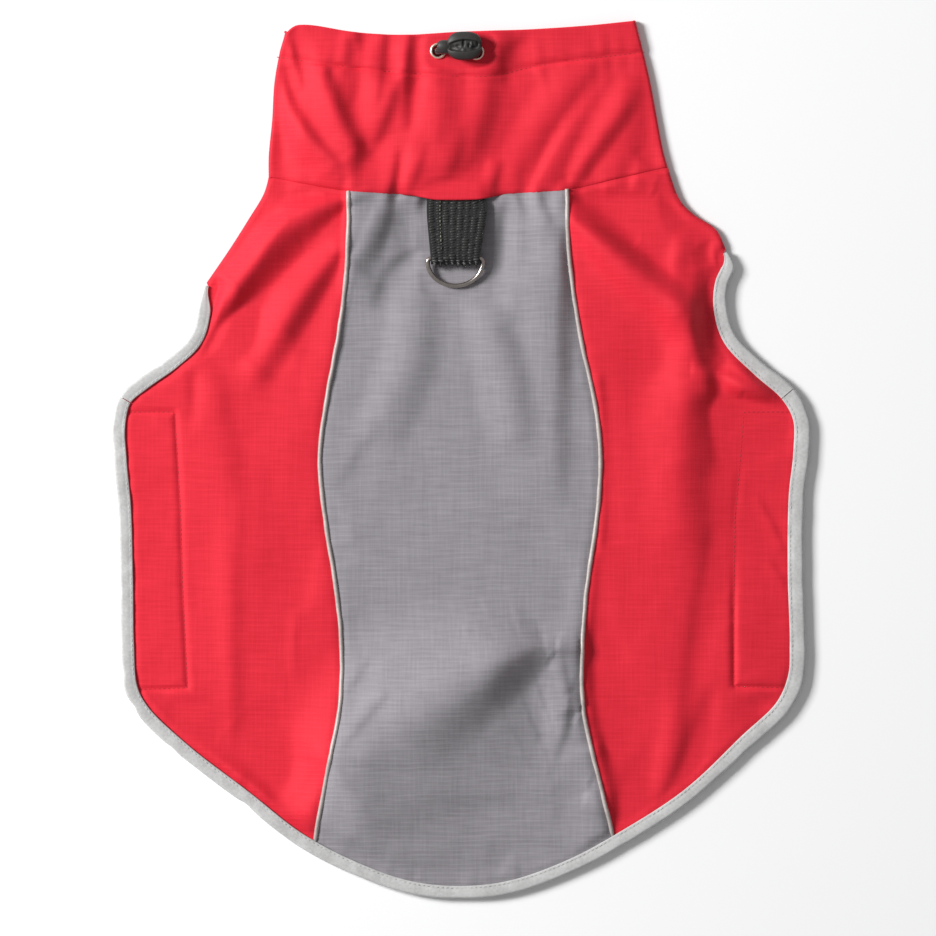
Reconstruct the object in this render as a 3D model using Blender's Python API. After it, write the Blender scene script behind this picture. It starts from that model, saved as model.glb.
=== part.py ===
"""Dog vest with a funnel collar, laid flat on a table with its back up.

The cloth pieces are thin walls. One height function says how far the upper cloth
lies above the table, and every piece on it is built from that same surface.
The tables are in millimetres, with X to the right and Y towards the collar.
"""
import math

import bmesh
import bpy
import numpy as np
from mathutils import Vector
from mathutils.geometry import delaunay_2d_cdt

MM = 0.001

# Driving sizes, in millimetres
WALL = 1.1
GAP = 0.3
BINDING_WIDTH = 5.2
STRIP_WIDTH = 5.9
FOLD_ROUND = 0.8
FOLD_WALL = 1.0
PIPING_RADIUS = 1.0
PIPING_SEARCH_Y = -100.0
SIDE_FOLD_RADIUS = 1.25
BASE = WALL + GAP
CORD_PROUD = 0.35
CASING_EXTRA = 0.5
CASING_STEP = (-1.0, 3.0)

# Lift of the upper cloth, and how far from an edge it takes to reach it
PUFF = 2.3
PUFF_REACH = 26.0
SIDE_PUFF_REACH = 20.0
FOLD_REACH = 13.0
SIDE_FOLD_REACH = 9.0
TAPE_PULL = 0.9
TAPE_PULL_WIDTH = 2.6
CHEST_BINDING_LIFT = 3.0
CHEST_LIFT_NEAR = 9.0
CHEST_LIFT_FAR = 17.0
CHEST_LAYER_LIFT = 1.6
CHEST_LAYER_TOP = 60.0
CHEST_LEVEL_TOP = 48.0

WEB_THICKNESS = 1.1
RING_WIRE_RADIUS = 1.0
RING_HALF_WIDTH = 11.0
RING_DEPTH = 11.0
RING_CORNER = 1.5
RING_CENTRE_X = -2.3
RING_BAR_Y = 80.2
WEB_REST_HEIGHT = 2.6
WEB_END_Y = 104.8
WEB_HALF_WIDTH = 9.5
WEB_FLARE = 2.7
WEB_LEAN = 0.9

# Bulge of the collar over the webbing: centre, and where it starts and stops falling
WEB_BULGE_X = -3.3
WEB_BULGE_ACROSS = (11.0, 22.0)
WEB_BULGE_ALONG = (1.0, 14.0)

# Level spots of the upper cloth under the hardware: centre and reach
WEB_SPOT = ((-2.3, 88.0), (16.5, 24.0))
LOCK_SPOT = ((-0.5, 163.5), (15.0, 9.0))

EYELET_RADIUS = 3.4
EYELET_HOLE = 2.2
EYELET_BARREL = 2.6
EYELET_FLANGE = 0.7
EYELET_WASHER = 0.4
EYELET_SIDES = 20
EYELET_LEFT = (-9.2, 163.2)
EYELET_RIGHT = (6.6, 162.0)
LOCK_REST_HEIGHT = 3.0
LOCK_SIZE = (13.6, 11.4, 7.0)
LOCK_CENTRE = (1.6, 165.5)
LOCK_WINDOW = (10.4, 4.4, 1.4)
CORD_RADIUS = 1.2
CORD_BEND = 3.0
CORD_ABOVE_LOCK_FLOOR = 2.7

EDGE_STEP = 7.5
CHEST_EDGE_STEP = 10.5
SIDE_STEP = 5.0
GRID_STEP = 9.5
CHEST_GRID_STEP = 16.0
MIN_SPACING = 4.6
END_CLEAR = 2.5
COLLAR_COLUMNS = 29
COLLAR_ROWS = 15
COLLAR_UNDER_COLUMNS = 9

# Outlines, columns x and y
BOUND_EDGE = [
    (-102.5, 69.6), (-104.8, 61.5), (-108.0, 49.5), (-116.5, 41.0), (-128.5, 32.4),
    (-136.6, 25.2), (-139.5, 14.0), (-139.0, 0.0), (-137.2, -20.0), (-136.4, -50.0),
    (-136.0, -75.0), (-134.6, -92.0), (-129.6, -102.0), (-112.4, -118.6), (-88.4, -137.0),
    (-66.0, -154.4), (-42.0, -166.8), (-20.0, -174.2), (2.0, -176.0), (22.0, -173.4),
    (46.0, -164.6), (68.0, -152.6), (91.6, -137.2), (115.6, -115.6), (131.4, -101.2),
    (137.2, -88.0), (138.0, -74.0), (137.2, -45.0), (137.6, -15.0), (139.4, 2.0),
    (139.2, 17.0), (133.4, 28.0), (121.0, 38.6), (109.8, 49.6), (106.2, 62.0),
    (109.0, 75.6), (106.4, 83.0),
]
SHOULDER_LEFT = [(-77.0, 112.4), (-79.0, 106.0), (-85.0, 96.0), (-92.6, 84.0), (-102.5, 69.6)]
SHOULDER_RIGHT = [(82.8, 116.4), (87.6, 103.6), (93.0, 98.0), (102.0, 91.8), (106.4, 83.0)]
COLLAR_SEAM = [
    (-77.0, 112.4), (-56.4, 108.4), (-46.0, 106.8), (-20.0, 105.2), (0.0, 104.8),
    (25.0, 106.0), (43.6, 107.4), (61.6, 111.4), (82.8, 116.4),
]
COLLAR_TOP = [
    (-70.5, 174.2), (-62.0, 174.4), (-44.0, 171.6), (-24.0, 170.4), (0.0, 171.6),
    (28.0, 172.6), (52.0, 174.2), (70.0, 176.0),
]
COLLAR_LEFT = [(-77.0, 112.4), (-77.0, 121.0), (-75.6, 136.0), (-74.6, 152.0), (-70.5, 174.2)]
COLLAR_RIGHT = [(82.8, 116.4), (80.8, 124.0), (78.0, 139.0), (75.4, 153.0), (70.0, 176.0)]
CASING_LINE = [
    (-73.2, 160.8), (-43.0, 156.4), (-19.0, 154.2), (12.0, 153.2), (28.0, 156.8),
    (50.0, 160.0), (73.0, 162.8),
]
CHEST_EDGE = [
    (-86.0, 70.6), (-80.5, 52.0), (-78.0, 30.0), (-82.0, 5.0), (-87.0, -25.0),
    (-85.0, -52.0), (-72.0, -73.0), (-46.0, -85.0), (0.0, -89.0), (46.0, -85.0),
    (72.0, -73.0), (85.0, -52.0), (87.0, -25.0), (83.0, 5.0), (80.0, 30.0),
    (83.5, 58.0), (90.0, 84.4),
]

# Piping seams, columns y, left x and right x
SEAMS = [
    (112.0, -45.0, 42.5), (92.0, -45.0, 42.5), (70.0, -46.2, 44.4), (45.0, -49.8, 48.6),
    (20.0, -54.4, 53.9), (-2.0, -56.5, 55.7), (-26.0, -54.1, 54.1), (-50.0, -50.2, 50.5),
    (-75.0, -47.8, 48.5), (-100.0, -48.6, 49.0), (-122.0, -52.8, 53.6),
    (-146.0, -57.3, 59.6), (-166.0, -60.0, 64.0),
]

# Wing corners, where the armhole bindings meet the hem binding
WING_CORNER_LEFT = (-136.6, 25.2)
WING_CORNER_RIGHT = (133.4, 28.0)

# The wings lie beyond this x and below this y
WING_X = 100.0
WING_TOP = 30.0

# Ends of the chest panel's upper edge beside its binding
CHEST_CORNER_LEFT = [(-100.6, 71.4), (-94.8, 71.2)]
CHEST_CORNER_RIGHT = [(98.8, 84.9), (104.6, 85.0)]

# Loop tape under the chest panel: near and far x on each side, low and high y
LOOP_TAPE_X = (44.0, 66.0)
LOOP_TAPE_Y = (-62.0, 36.0)

# Closure tape stitching on the wings, columns x and y
TAPE_LEFT = [(-132.6, 18.8), (-114.4, 18.8), (-112.2, -20.0), (-111.4, -50.0), (-109.4, -91.6),
             (-128.4, -92.2)]
TAPE_RIGHT = [(132.4, 18.8), (113.2, 18.8), (111.8, 0.0), (109.6, -24.0), (109.2, -56.0),
              (109.2, -91.0), (130.2, -91.6)]

# Largest folds: start x and y, middle x and y, end x and y, half width, and the
# height at start, middle and end, where a ridge is above zero and a trough below
FOLDS = [
    (-67.0, 164.0, -65.0, 157.0, -63.4, 150.0, 4.0, -0.8, -1.0, -0.4),
    (-71.0, 153.0, -65.6, 139.0, -52.0, 122.0, 5.0, -1.2, -1.6, -0.6),
    (-52.4, 152.0, -47.0, 138.0, -42.4, 114.0, 6.0, -1.0, -1.9, -1.0),
    (-27.0, 148.0, -30.4, 135.0, -36.0, 124.0, 5.0, -1.0, -1.7, -0.8),
    (-20.0, 168.0, -20.6, 151.0, -21.2, 134.0, 5.0, -0.6, -1.6, -0.4),
    (-62.0, 146.0, -57.0, 136.0, -50.0, 128.0, 6.0, 1.0, 1.3, 0.4),
    (-38.0, 160.0, -38.0, 146.0, -35.6, 134.0, 6.0, 0.8, 1.4, 0.6),
    (-4.0, 146.0, -8.0, 132.0, -14.0, 116.0, 10.0, 1.4, 1.8, 0.8),
    (20.0, 150.0, 14.0, 134.0, 4.0, 116.0, 10.0, 0.4, 1.2, 0.8),
    (43.0, 142.0, 35.0, 124.0, 23.0, 109.0, 7.0, -0.8, -1.7, -0.8),
    (52.0, 143.0, 44.0, 124.0, 32.0, 109.0, 6.0, 0.8, 2.2, 1.2),
    (62.6, 150.0, 56.0, 132.0, 48.4, 113.0, 6.0, -0.6, -1.5, -0.8),
    (69.0, 150.0, 63.4, 132.0, 55.0, 114.0, 6.0, 0.6, 1.6, 0.8),
    (-47.0, 104.0, -68.0, 92.0, -94.0, 73.0, 8.0, 1.8, 2.6, 1.0),
    (-47.6, 97.0, -70.0, 75.0, -98.0, 52.0, 8.0, -0.6, -1.6, -0.8),
    (-47.6, 86.0, -64.0, 66.0, -81.0, 40.0, 8.0, 1.2, 2.2, 0.8),
    (-48.6, 66.0, -62.0, 46.0, -76.0, 22.0, 8.0, -0.8, -1.4, -0.4),
    (-95.0, 26.0, -94.0, -30.0, -92.0, -100.0, 8.0, 0.8, 1.4, 1.4),
    (-84.0, -20.0, -84.4, -64.0, -83.0, -108.0, 7.0, -0.4, -1.2, -0.8),
    (51.0, 92.0, 71.0, 70.0, 84.0, 48.0, 8.0, 1.4, 2.4, 1.2),
    (49.6, 102.0, 72.0, 86.0, 91.0, 66.0, 8.0, -0.6, -1.6, -0.8),
    (60.0, 106.0, 80.0, 98.0, 96.0, 84.0, 8.0, 1.2, 1.8, 0.8),
    (88.6, 50.0, 89.4, 16.0, 88.0, -26.0, 8.0, 1.2, 2.0, 0.8),
    (100.0, 54.0, 102.0, 30.0, 101.0, 2.0, 6.0, -0.8, -1.5, -0.6),
    (58.0, 66.0, 62.0, 30.0, 64.0, -10.0, 9.0, 0.8, 1.4, 0.8),
    (97.0, -42.0, 90.0, -68.0, 86.0, -92.0, 7.0, -0.6, -1.3, -0.6),
    (101.0, -52.0, 96.0, -76.0, 92.0, -100.0, 6.0, 0.6, 1.3, 0.8),
    (80.6, -92.0, 80.0, -116.0, 75.6, -130.0, 7.0, 0.6, 1.2, 0.8),
    (-32.6, 103.0, -36.0, 92.0, -42.0, 80.0, 5.0, 1.2, 1.6, 0.6),
    (-26.8, 103.0, -28.6, 91.0, -43.0, 72.0, 5.0, -0.6, -1.3, -0.8),
    (-20.0, 80.0, -28.0, 74.0, -34.6, 64.0, 5.0, -0.8, -1.2, -0.4),
    (-25.6, 66.0, -28.0, 32.0, -39.0, 4.0, 9.0, 1.0, 2.0, 1.0),
    (19.0, 103.0, 15.0, 88.0, 17.0, 66.0, 5.0, 1.2, 1.0, 0.6),
    (7.0, 54.0, 7.6, 24.0, 9.0, -8.0, 9.0, -0.8, -1.4, -0.8),
    (19.4, 60.0, 20.0, 24.0, 24.0, -4.0, 8.0, 0.8, 1.5, 0.8),
    (40.0, 64.0, 44.0, 44.0, 47.0, 30.0, 6.0, 0.8, 1.4, 0.6),
    (34.0, -75.0, 6.0, -85.0, -45.0, -122.0, 9.0, 2.2, 3.2, 1.8),
    (26.0, -88.0, 6.0, -110.0, -40.0, -133.0, 10.0, -1.2, -1.9, -1.0),
    (37.0, -84.0, 37.0, -102.0, 38.0, -120.0, 8.0, 1.4, 1.8, 0.8),
    (-30.0, -96.0, -39.0, -104.4, -46.0, -112.0, 4.0, -0.8, -1.2, -0.8),
]

# Colours, roughness and metallic value
FINISHES = {
    "red ripstop": ((0.72, 0.045, 0.075), 0.62, 0.0),
    "grey ripstop": ((0.28, 0.265, 0.285), 0.58, 0.0),
    "grey binding tape": ((0.60, 0.60, 0.59), 0.70, 0.0),
    "reflective piping": ((0.52, 0.50, 0.48), 0.40, 0.0),
    "black webbing": ((0.015, 0.015, 0.016), 0.80, 0.0),
    "black closure tape": ((0.020, 0.020, 0.022), 0.90, 0.0),
    "steel wire": ((0.55, 0.54, 0.52), 0.25, 1.0),
    "pale brass": ((0.78, 0.66, 0.48), 0.30, 1.0),
    "grey moulded plastic": ((0.045, 0.045, 0.048), 0.45, 0.0),
    "black elastic": ((0.012, 0.012, 0.013), 0.75, 0.0),
}


def clear_scene():
    """Start from an empty scene."""
    for item in list(bpy.data.objects):
        bpy.data.objects.remove(item, do_unlink=True)


def finish(name):
    """Material of one finish, made once."""
    found = bpy.data.materials.get(name)
    if found:
        return found
    colour, roughness, metallic = FINISHES[name]
    material = bpy.data.materials.new(name)
    material.use_nodes = True
    shader = material.node_tree.nodes["Principled BSDF"]
    shader.inputs["Base Color"].default_value = (*colour, 1.0)
    shader.inputs["Roughness"].default_value = roughness
    shader.inputs["Metallic"].default_value = metallic
    return material


def solid(name, points, faces, finish_name, smooth=True):
    """Object from points in millimetres and faces, with its normals pointing out."""
    mesh = bpy.data.meshes.new(name)
    bm = bmesh.new()
    verts = [bm.verts.new(Vector(point) * MM) for point in points]
    for face in faces:
        bm.faces.new([verts[index] for index in face])
    bmesh.ops.recalc_face_normals(bm, faces=bm.faces)
    bm.to_mesh(mesh)
    bm.free()
    if smooth:
        mesh.shade_smooth()
        mesh.set_sharp_from_angle(angle=math.radians(40))
    piece = bpy.data.objects.new(name, mesh)
    bpy.context.scene.collection.objects.link(piece)
    mesh.materials.append(finish(finish_name))
    return piece


def ramp(value, start, end):
    """Smooth step from 0 at start to 1 at end."""
    t = np.clip((value - start) / (end - start), 0.0, 1.0)
    return t * t * (3.0 - 2.0 * t)


def resample(path, count):
    """The path again, with count points at equal distances along it."""
    path = np.asarray(path, float)
    run = np.concatenate([[0.0], np.cumsum(np.linalg.norm(np.diff(path, axis=0), axis=1))])
    stations = np.linspace(0.0, run[-1], count)
    return np.column_stack([np.interp(stations, run, column) for column in path.T])


def spline(points, step=None, count=None):
    """Smooth curve through the points, with a point every step or count points in all."""
    points = np.asarray(points, float)
    ends = np.vstack([2 * points[0] - points[1], points, 2 * points[-1] - points[-2]])
    dense = []
    for before, start, end, after in zip(ends, ends[1:], ends[2:], ends[3:]):
        knots = [0.0]
        for a, b in ((before, start), (start, end), (end, after)):
            knots.append(knots[-1] + math.sqrt(np.linalg.norm(b - a)))
        k0, k1, k2, k3 = knots
        for t in np.linspace(k1, k2, 16, endpoint=False):
            a1 = ((k1 - t) * before + (t - k0) * start) / (k1 - k0)
            a2 = ((k2 - t) * start + (t - k1) * end) / (k2 - k1)
            a3 = ((k3 - t) * end + (t - k2) * after) / (k3 - k2)
            b1 = ((k2 - t) * a1 + (t - k0) * a2) / (k2 - k0)
            b2 = ((k3 - t) * a2 + (t - k1) * a3) / (k3 - k1)
            dense.append(((k2 - t) * b1 + (t - k1) * b2) / (k2 - k1))
    dense.append(points[-1])
    length = np.linalg.norm(np.diff(dense, axis=0), axis=1).sum()
    return resample(dense, count or max(2, round(length / step) + 1))


def inward(path, distance):
    """The path moved to its left, which is into the cloth on a counterclockwise outline."""
    path = np.asarray(path, float)
    ahead = np.gradient(path, axis=0)
    ahead /= np.linalg.norm(ahead, axis=1)[:, None]
    return path + distance * np.column_stack([-ahead[:, 1], ahead[:, 0]])


def distance_to(points, path):
    """Distance from each point to a polyline."""
    points = np.atleast_2d(points)
    start = np.asarray(path[:-1])
    along = np.asarray(path[1:]) - start
    offset = points[:, None, :] - start[None, :, :]
    t = (offset * along).sum(axis=2) / (along * along).sum(axis=1)
    nearest = offset - np.clip(t, 0.0, 1.0)[..., None] * along
    return np.sqrt((nearest * nearest).sum(axis=2)).min(axis=1)


EDGE = spline(BOUND_EDGE, step=EDGE_STEP)
CHEST = spline(CHEST_EDGE, step=CHEST_EDGE_STEP)
SEAM_LEFT = spline([(left, y) for y, left, right in SEAMS], step=EDGE_STEP)
SEAM_RIGHT = spline([(right, y) for y, left, right in SEAMS], step=EDGE_STEP)
SIDE_LEFT = np.vstack([spline(COLLAR_LEFT, step=SIDE_STEP)[:0:-1],
                       spline(SHOULDER_LEFT, step=SIDE_STEP)])
SIDE_RIGHT = np.vstack([spline(COLLAR_RIGHT, step=SIDE_STEP)[:0:-1],
                        spline(SHOULDER_RIGHT, step=SIDE_STEP)])
CASING = spline(CASING_LINE, step=SIDE_STEP)


def bend(row, count=9):
    """Points along the parabola through a fold's start, middle and end."""
    start, middle, end = np.array(row[:6]).reshape(3, 2)
    t = np.linspace(0.0, 1.0, count)[:, None]
    return (start * (1 - t) * (1 - 2 * t) + middle * 4 * t * (1 - t) + end * t * (2 * t - 1))


def fold_height(points):
    """Sum of the folds' heights at each point."""
    total = np.zeros(len(points))
    for row in FOLDS:
        width, first, mid, last = row[6:]
        path = bend(row)
        gaps = np.linalg.norm(points[:, None, :] - path[None, :, :], axis=2)
        t = np.argmin(gaps, axis=1) / (len(path) - 1)
        height = first * (1 - t) * (1 - 2 * t) + mid * 4 * t * (1 - t) + last * t * (2 * t - 1)
        total += height * np.exp(-(distance_to(points, path) / width) ** 2)
    return total


def level_spot(points, spot, height, surface):
    """The surface brought to one height around a spot, where hardware rests on it."""
    centre, reach = np.array(spot)
    away = np.abs(points - centre) / reach
    hold = 1.0 - ramp((away ** 4).sum(axis=1) ** 0.25, 1.0, 1.6)
    return surface * (1.0 - hold) + height * hold


def cloth_height(points):
    """Height of the upper cloth's lower face above the table."""
    points = np.atleast_2d(np.asarray(points, float))
    bound = distance_to(points, EDGE)
    side = np.minimum(distance_to(points, SIDE_LEFT), distance_to(points, SIDE_RIGHT))
    freedom = np.minimum(ramp(bound, STRIP_WIDTH, PUFF_REACH),
                         ramp(side, SIDE_FOLD_RADIUS, SIDE_PUFF_REACH))
    play = np.minimum(ramp(bound, STRIP_WIDTH, FOLD_REACH),
                      ramp(side, SIDE_FOLD_RADIUS, SIDE_FOLD_REACH))
    height = BASE + PUFF * freedom + fold_height(points) * play
    for line in (TAPE_LEFT, TAPE_RIGHT):
        pull = np.exp(-(distance_to(points, np.array(line)) / TAPE_PULL_WIDTH) ** 2)
        height = BASE + (height - BASE) * (1.0 - TAPE_PULL * pull)
    height = level_spot(points, WEB_SPOT, WEB_REST_HEIGHT, height)
    height = level_spot(points, LOCK_SPOT, LOCK_REST_HEIGHT, height)
    near_chest_edge = 1.0 - ramp(distance_to(points, CHEST), CHEST_LIFT_NEAR, CHEST_LIFT_FAR)
    over_chest = (points[:, 1] < CHEST_LAYER_TOP) * freedom * CHEST_LAYER_LIFT
    lowest = BASE + np.maximum(CHEST_BINDING_LIFT * near_chest_edge, over_chest)
    return np.maximum(height, np.minimum(lowest, BASE + CHEST_BINDING_LIFT * play))


def chest_height(points):
    """Height of the chest panel's lower face above the table."""
    points = np.atleast_2d(np.asarray(points, float))
    near_binding = 1.0 - ramp(distance_to(points, CHEST), STRIP_WIDTH, CHEST_LIFT_NEAR)
    below_neck = 1.0 - ramp(points[:, 1], CHEST_LEVEL_TOP, CHEST_LAYER_TOP)
    return BASE * np.maximum(near_binding, below_neck)


def scatter(outline, lines, step, guides):
    """Extra points inside an outline: along guide paths, then on a triangular grid."""
    outline = np.asarray(outline)
    taken = np.vstack([outline] + lines) if lines else outline
    low, high = outline.min(axis=0), outline.max(axis=0)
    candidates = list(guides)
    rows = np.arange(low[1], high[1], step * math.sqrt(0.75))
    for number, y in enumerate(rows):
        xs = np.arange(low[0] + (number % 2) * step / 2, high[0], step)
        candidates.append(np.column_stack([xs, np.full(len(xs), y)]))
    closed = np.vstack([outline, outline[:1]])
    for point in np.vstack(candidates):
        if not inside(point, closed) or distance_to(point, closed)[0] < MIN_SPACING * 0.8:
            continue
        if np.linalg.norm(taken - point, axis=1).min() < MIN_SPACING:
            continue
        taken = np.vstack([taken, point])
    return taken[len(outline) + sum(len(line) for line in lines):]


def inside(point, closed):
    """Whether a point lies inside a closed polyline."""
    x, y = point
    (x0, y0), (x1, y1) = closed[:-1].T, closed[1:].T
    crosses = (y0 > y) != (y1 > y)
    with np.errstate(divide="ignore", invalid="ignore"):
        at = x0 + (y - y0) * (x1 - x0) / (y1 - y0)
    return bool(np.count_nonzero(crosses & (x < at)) % 2)


def fold_guides():
    """Paths that the upper cloth's net follows: tape stitching, fold crests and sides."""
    guides = [resample(line, 24) for line in (TAPE_LEFT, TAPE_RIGHT)]
    for row in FOLDS:
        path = bend(row)
        guides += [path, inward(path, row[6]), inward(path, -row[6])]
    return guides


def cloth_panel(name, outline, lines, height, finish_name, step=GRID_STEP, guides=()):
    """Thin wall over an outline, whose lower face follows a height function."""
    outline = np.asarray(outline, float)
    extra = scatter(outline, lines, step, guides)
    flat = np.vstack([outline] + lines + [extra])
    links, first = [], len(outline)
    for line in lines:
        links += [(first + i, first + i + 1) for i in range(len(line) - 1)]
        first += len(line)
    net = delaunay_2d_cdt([Vector(point) for point in flat], links,
                          [list(range(len(outline)))], 1, 1e-5)
    spots, triangles = np.array([tuple(spot) for spot in net[0]]), net[2]
    low = height(spots)
    count = len(spots)
    points = [(x, y, z) for (x, y), z in zip(spots, low)]
    points += [(x, y, z + WALL) for (x, y), z in zip(spots, low)]
    faces, sides = [], []
    for triangle in triangles:
        faces.append([index + count for index in triangle])
        faces.append(list(reversed(triangle)))
        sides += zip(triangle, triangle[1:] + triangle[:1])
    known = set(sides)
    faces += [[a, b, b + count, a + count] for a, b in sides if (b, a) not in known]
    return solid(name, points, faces, finish_name)


def sweep(name, rings, finish_name, closed=False, origin=None):
    """Solid through a row of rings, closed on itself or capped at both ends."""
    rings = np.asarray(rings, float)
    if origin is not None:
        rings = rings - np.array(origin)
    count, sides = rings.shape[:2]
    faces = []
    for i in range(count if closed else count - 1):
        a, b = i * sides, (i + 1) % count * sides
        faces += [[a + j, a + (j + 1) % sides, b + (j + 1) % sides, b + j] for j in range(sides)]
    if not closed:
        faces += [list(range(sides)), list(range((count - 1) * sides, count * sides))]
    piece = solid(name, rings.reshape(-1, 3), faces, finish_name)
    if origin is not None:
        piece.location = Vector(origin) * MM
    return piece


def tube_rings(path, radius, sides, closed=False):
    """Round rings along a path in space."""
    path = np.asarray(path, float)
    if closed:
        ahead = np.roll(path, -1, axis=0) - np.roll(path, 1, axis=0)
    else:
        ahead = np.gradient(path, axis=0)
    ahead /= np.linalg.norm(ahead, axis=1)[:, None]
    across = np.cross(ahead[0], (0.0, 0.0, 1.0))
    if np.linalg.norm(across) < 0.1:
        across = np.cross(ahead[0], (0.0, 1.0, 0.0))
    rings = []
    for point, direction in zip(path, ahead):
        across = across - direction * np.dot(across, direction)
        across /= np.linalg.norm(across)
        up = np.cross(across, direction)
        angles = (np.arange(sides) + 0.5) * math.tau / sides
        rings.append([point + radius * (math.cos(a) * across + math.sin(a) * up)
                      for a in angles])
    return rings


def binding(name, path, first=0, last=None, trim=(0.0, 0.0)):
    """Tape folded over a cloth edge, along part of a path, its ends cut back by trim."""
    top = BASE + WALL + GAP + WALL
    section = [
        (BINDING_WIDTH, 0.0), (FOLD_ROUND, 0.0), (0.0, FOLD_ROUND), (0.0, top - FOLD_ROUND),
        (FOLD_ROUND, top), (BINDING_WIDTH, top), (BINDING_WIDTH, top - WALL),
        (FOLD_WALL, top - WALL), (FOLD_WALL, WALL), (BINDING_WIDTH, WALL),
    ]
    run = slice(first, None if last is None else last + 1)
    ahead = np.gradient(path, axis=0)[run]
    ahead /= np.linalg.norm(ahead, axis=1)[:, None]
    rings = np.empty((len(ahead), len(section), 3))
    for number, (depth, z) in enumerate(section):
        rings[:, number, :2] = inward(path, depth)[run]
        rings[:, number, 2] = z
    rings[0, :, :2] += ahead[0] * trim[0]
    rings[-1, :, :2] -= ahead[-1] * trim[1]
    return sweep(name, rings, "grey binding tape")


def where_level(path, y):
    """X where a seam passes a given Y."""
    order = np.argsort(path[:, 1])
    return float(np.interp(y, path[order, 1], path[order, 0]))


def corner_numbers():
    """Numbers of the edge points at the two wing corners."""
    left = np.linalg.norm(EDGE - np.array(WING_CORNER_LEFT), axis=1).argmin()
    right = np.linalg.norm(EDGE - np.array(WING_CORNER_RIGHT), axis=1).argmin()
    return int(left), int(right)


def split_at_seam(line, seam, side):
    """Number of the first point of a line past a seam, and the crossing point itself."""
    shift = side * (PIPING_RADIUS + GAP)
    ahead = np.array([x - where_level(seam, y) - shift for x, y in line])
    number = int(np.argmax(ahead > 0.0))
    share = ahead[number - 1] / (ahead[number - 1] - ahead[number])
    return number, line[number - 1] + share * (line[number] - line[number - 1])


def seam_run(seam, side, low, high):
    """Panel edge beside the piping, between two heights on the garment."""
    shift = side * (PIPING_RADIUS + GAP)
    ys = seam[:, 1][(seam[:, 1] > low + END_CLEAR) & (seam[:, 1] < high - END_CLEAR)]
    return np.column_stack([[where_level(seam, y) + shift for y in ys], ys])


def collar_grid():
    """Plan of the collar's upper layer: rows of points from seam to top edge."""
    low = spline(COLLAR_SEAM, count=COLLAR_COLUMNS)
    high = spline(COLLAR_TOP, count=COLLAR_COLUMNS)
    left = spline(COLLAR_LEFT, count=COLLAR_ROWS)
    right = spline(COLLAR_RIGHT, count=COLLAR_ROWS)
    low[:, 0] += np.linspace(SIDE_FOLD_RADIUS, -SIDE_FOLD_RADIUS, COLLAR_COLUMNS)
    high[:, 0] += np.linspace(SIDE_FOLD_RADIUS, -SIDE_FOLD_RADIUS, COLLAR_COLUMNS)
    left[:, 0] += SIDE_FOLD_RADIUS
    right[:, 0] -= SIDE_FOLD_RADIUS
    s = np.linspace(0.0, 1.0, COLLAR_COLUMNS)[None, :, None]
    t = np.linspace(0.0, 1.0, COLLAR_ROWS)[:, None, None]
    corners = ((1 - s) * (1 - t) * low[0] + s * (1 - t) * low[-1]
               + (1 - s) * t * high[0] + s * t * high[-1])
    return (1 - t) * low + t * high + (1 - s) * left[:, None] + s * right[:, None] - corners


def collar_height(points):
    """The upper cloth's height, raised where the collar seam covers the webbing."""
    across = 1.0 - ramp(np.abs(points[:, 0] - WEB_BULGE_X), *WEB_BULGE_ACROSS)
    seam_y = np.interp(points[:, 0], *spline(COLLAR_SEAM, step=SIDE_STEP).T)
    along = 1.0 - ramp(points[:, 1] - seam_y, *WEB_BULGE_ALONG)
    bulge_height = WEB_REST_HEIGHT + WALL + GAP + WEB_THICKNESS + GAP
    rise = across * along
    return cloth_height(points) * (1.0 - rise) + bulge_height * rise


def collar(grid):
    """Flattened tube of cloth, with a drawcord casing along its top edge."""
    under = np.linspace(0, COLLAR_COLUMNS - 1, COLLAR_UNDER_COLUMNS).round().astype(int)
    casing_y = np.interp(grid[..., 0].ravel(), CASING[:, 0], CASING[:, 1])
    flat = grid.reshape(-1, 2)
    low = collar_height(flat)
    extra = CASING_EXTRA * ramp(flat[:, 1] - casing_y, *CASING_STEP)
    low = low.reshape(grid.shape[:2])
    high = low + WALL + extra.reshape(low.shape)
    outer, inner = [], []
    for row, bottom, top in zip(grid, low, high):
        ring = [(x, y, 0.0) for x, y in row[under]]
        for end, turn in ((-1, 1.0), (0, -1.0)):
            x, y = row[end]
            middle = top[end] / 2
            for angle in (-45, 0, 45):
                a = math.radians(angle * turn)
                ring.append((x + turn * SIDE_FOLD_RADIUS * math.cos(a), y,
                             middle + middle * math.sin(a)))
            if turn > 0:
                ring += [(px, py, z) for (px, py), z in zip(row[::-1], top[::-1])]
        outer.append(ring)
        lining = [(x, y, WALL) for x, y in row[under]]
        lining += [(px, py, z) for (px, py), z in zip(row[::-1], bottom[::-1])]
        inner.append(lining)
    return ring_tube("collar", outer, inner, "red ripstop")


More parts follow.
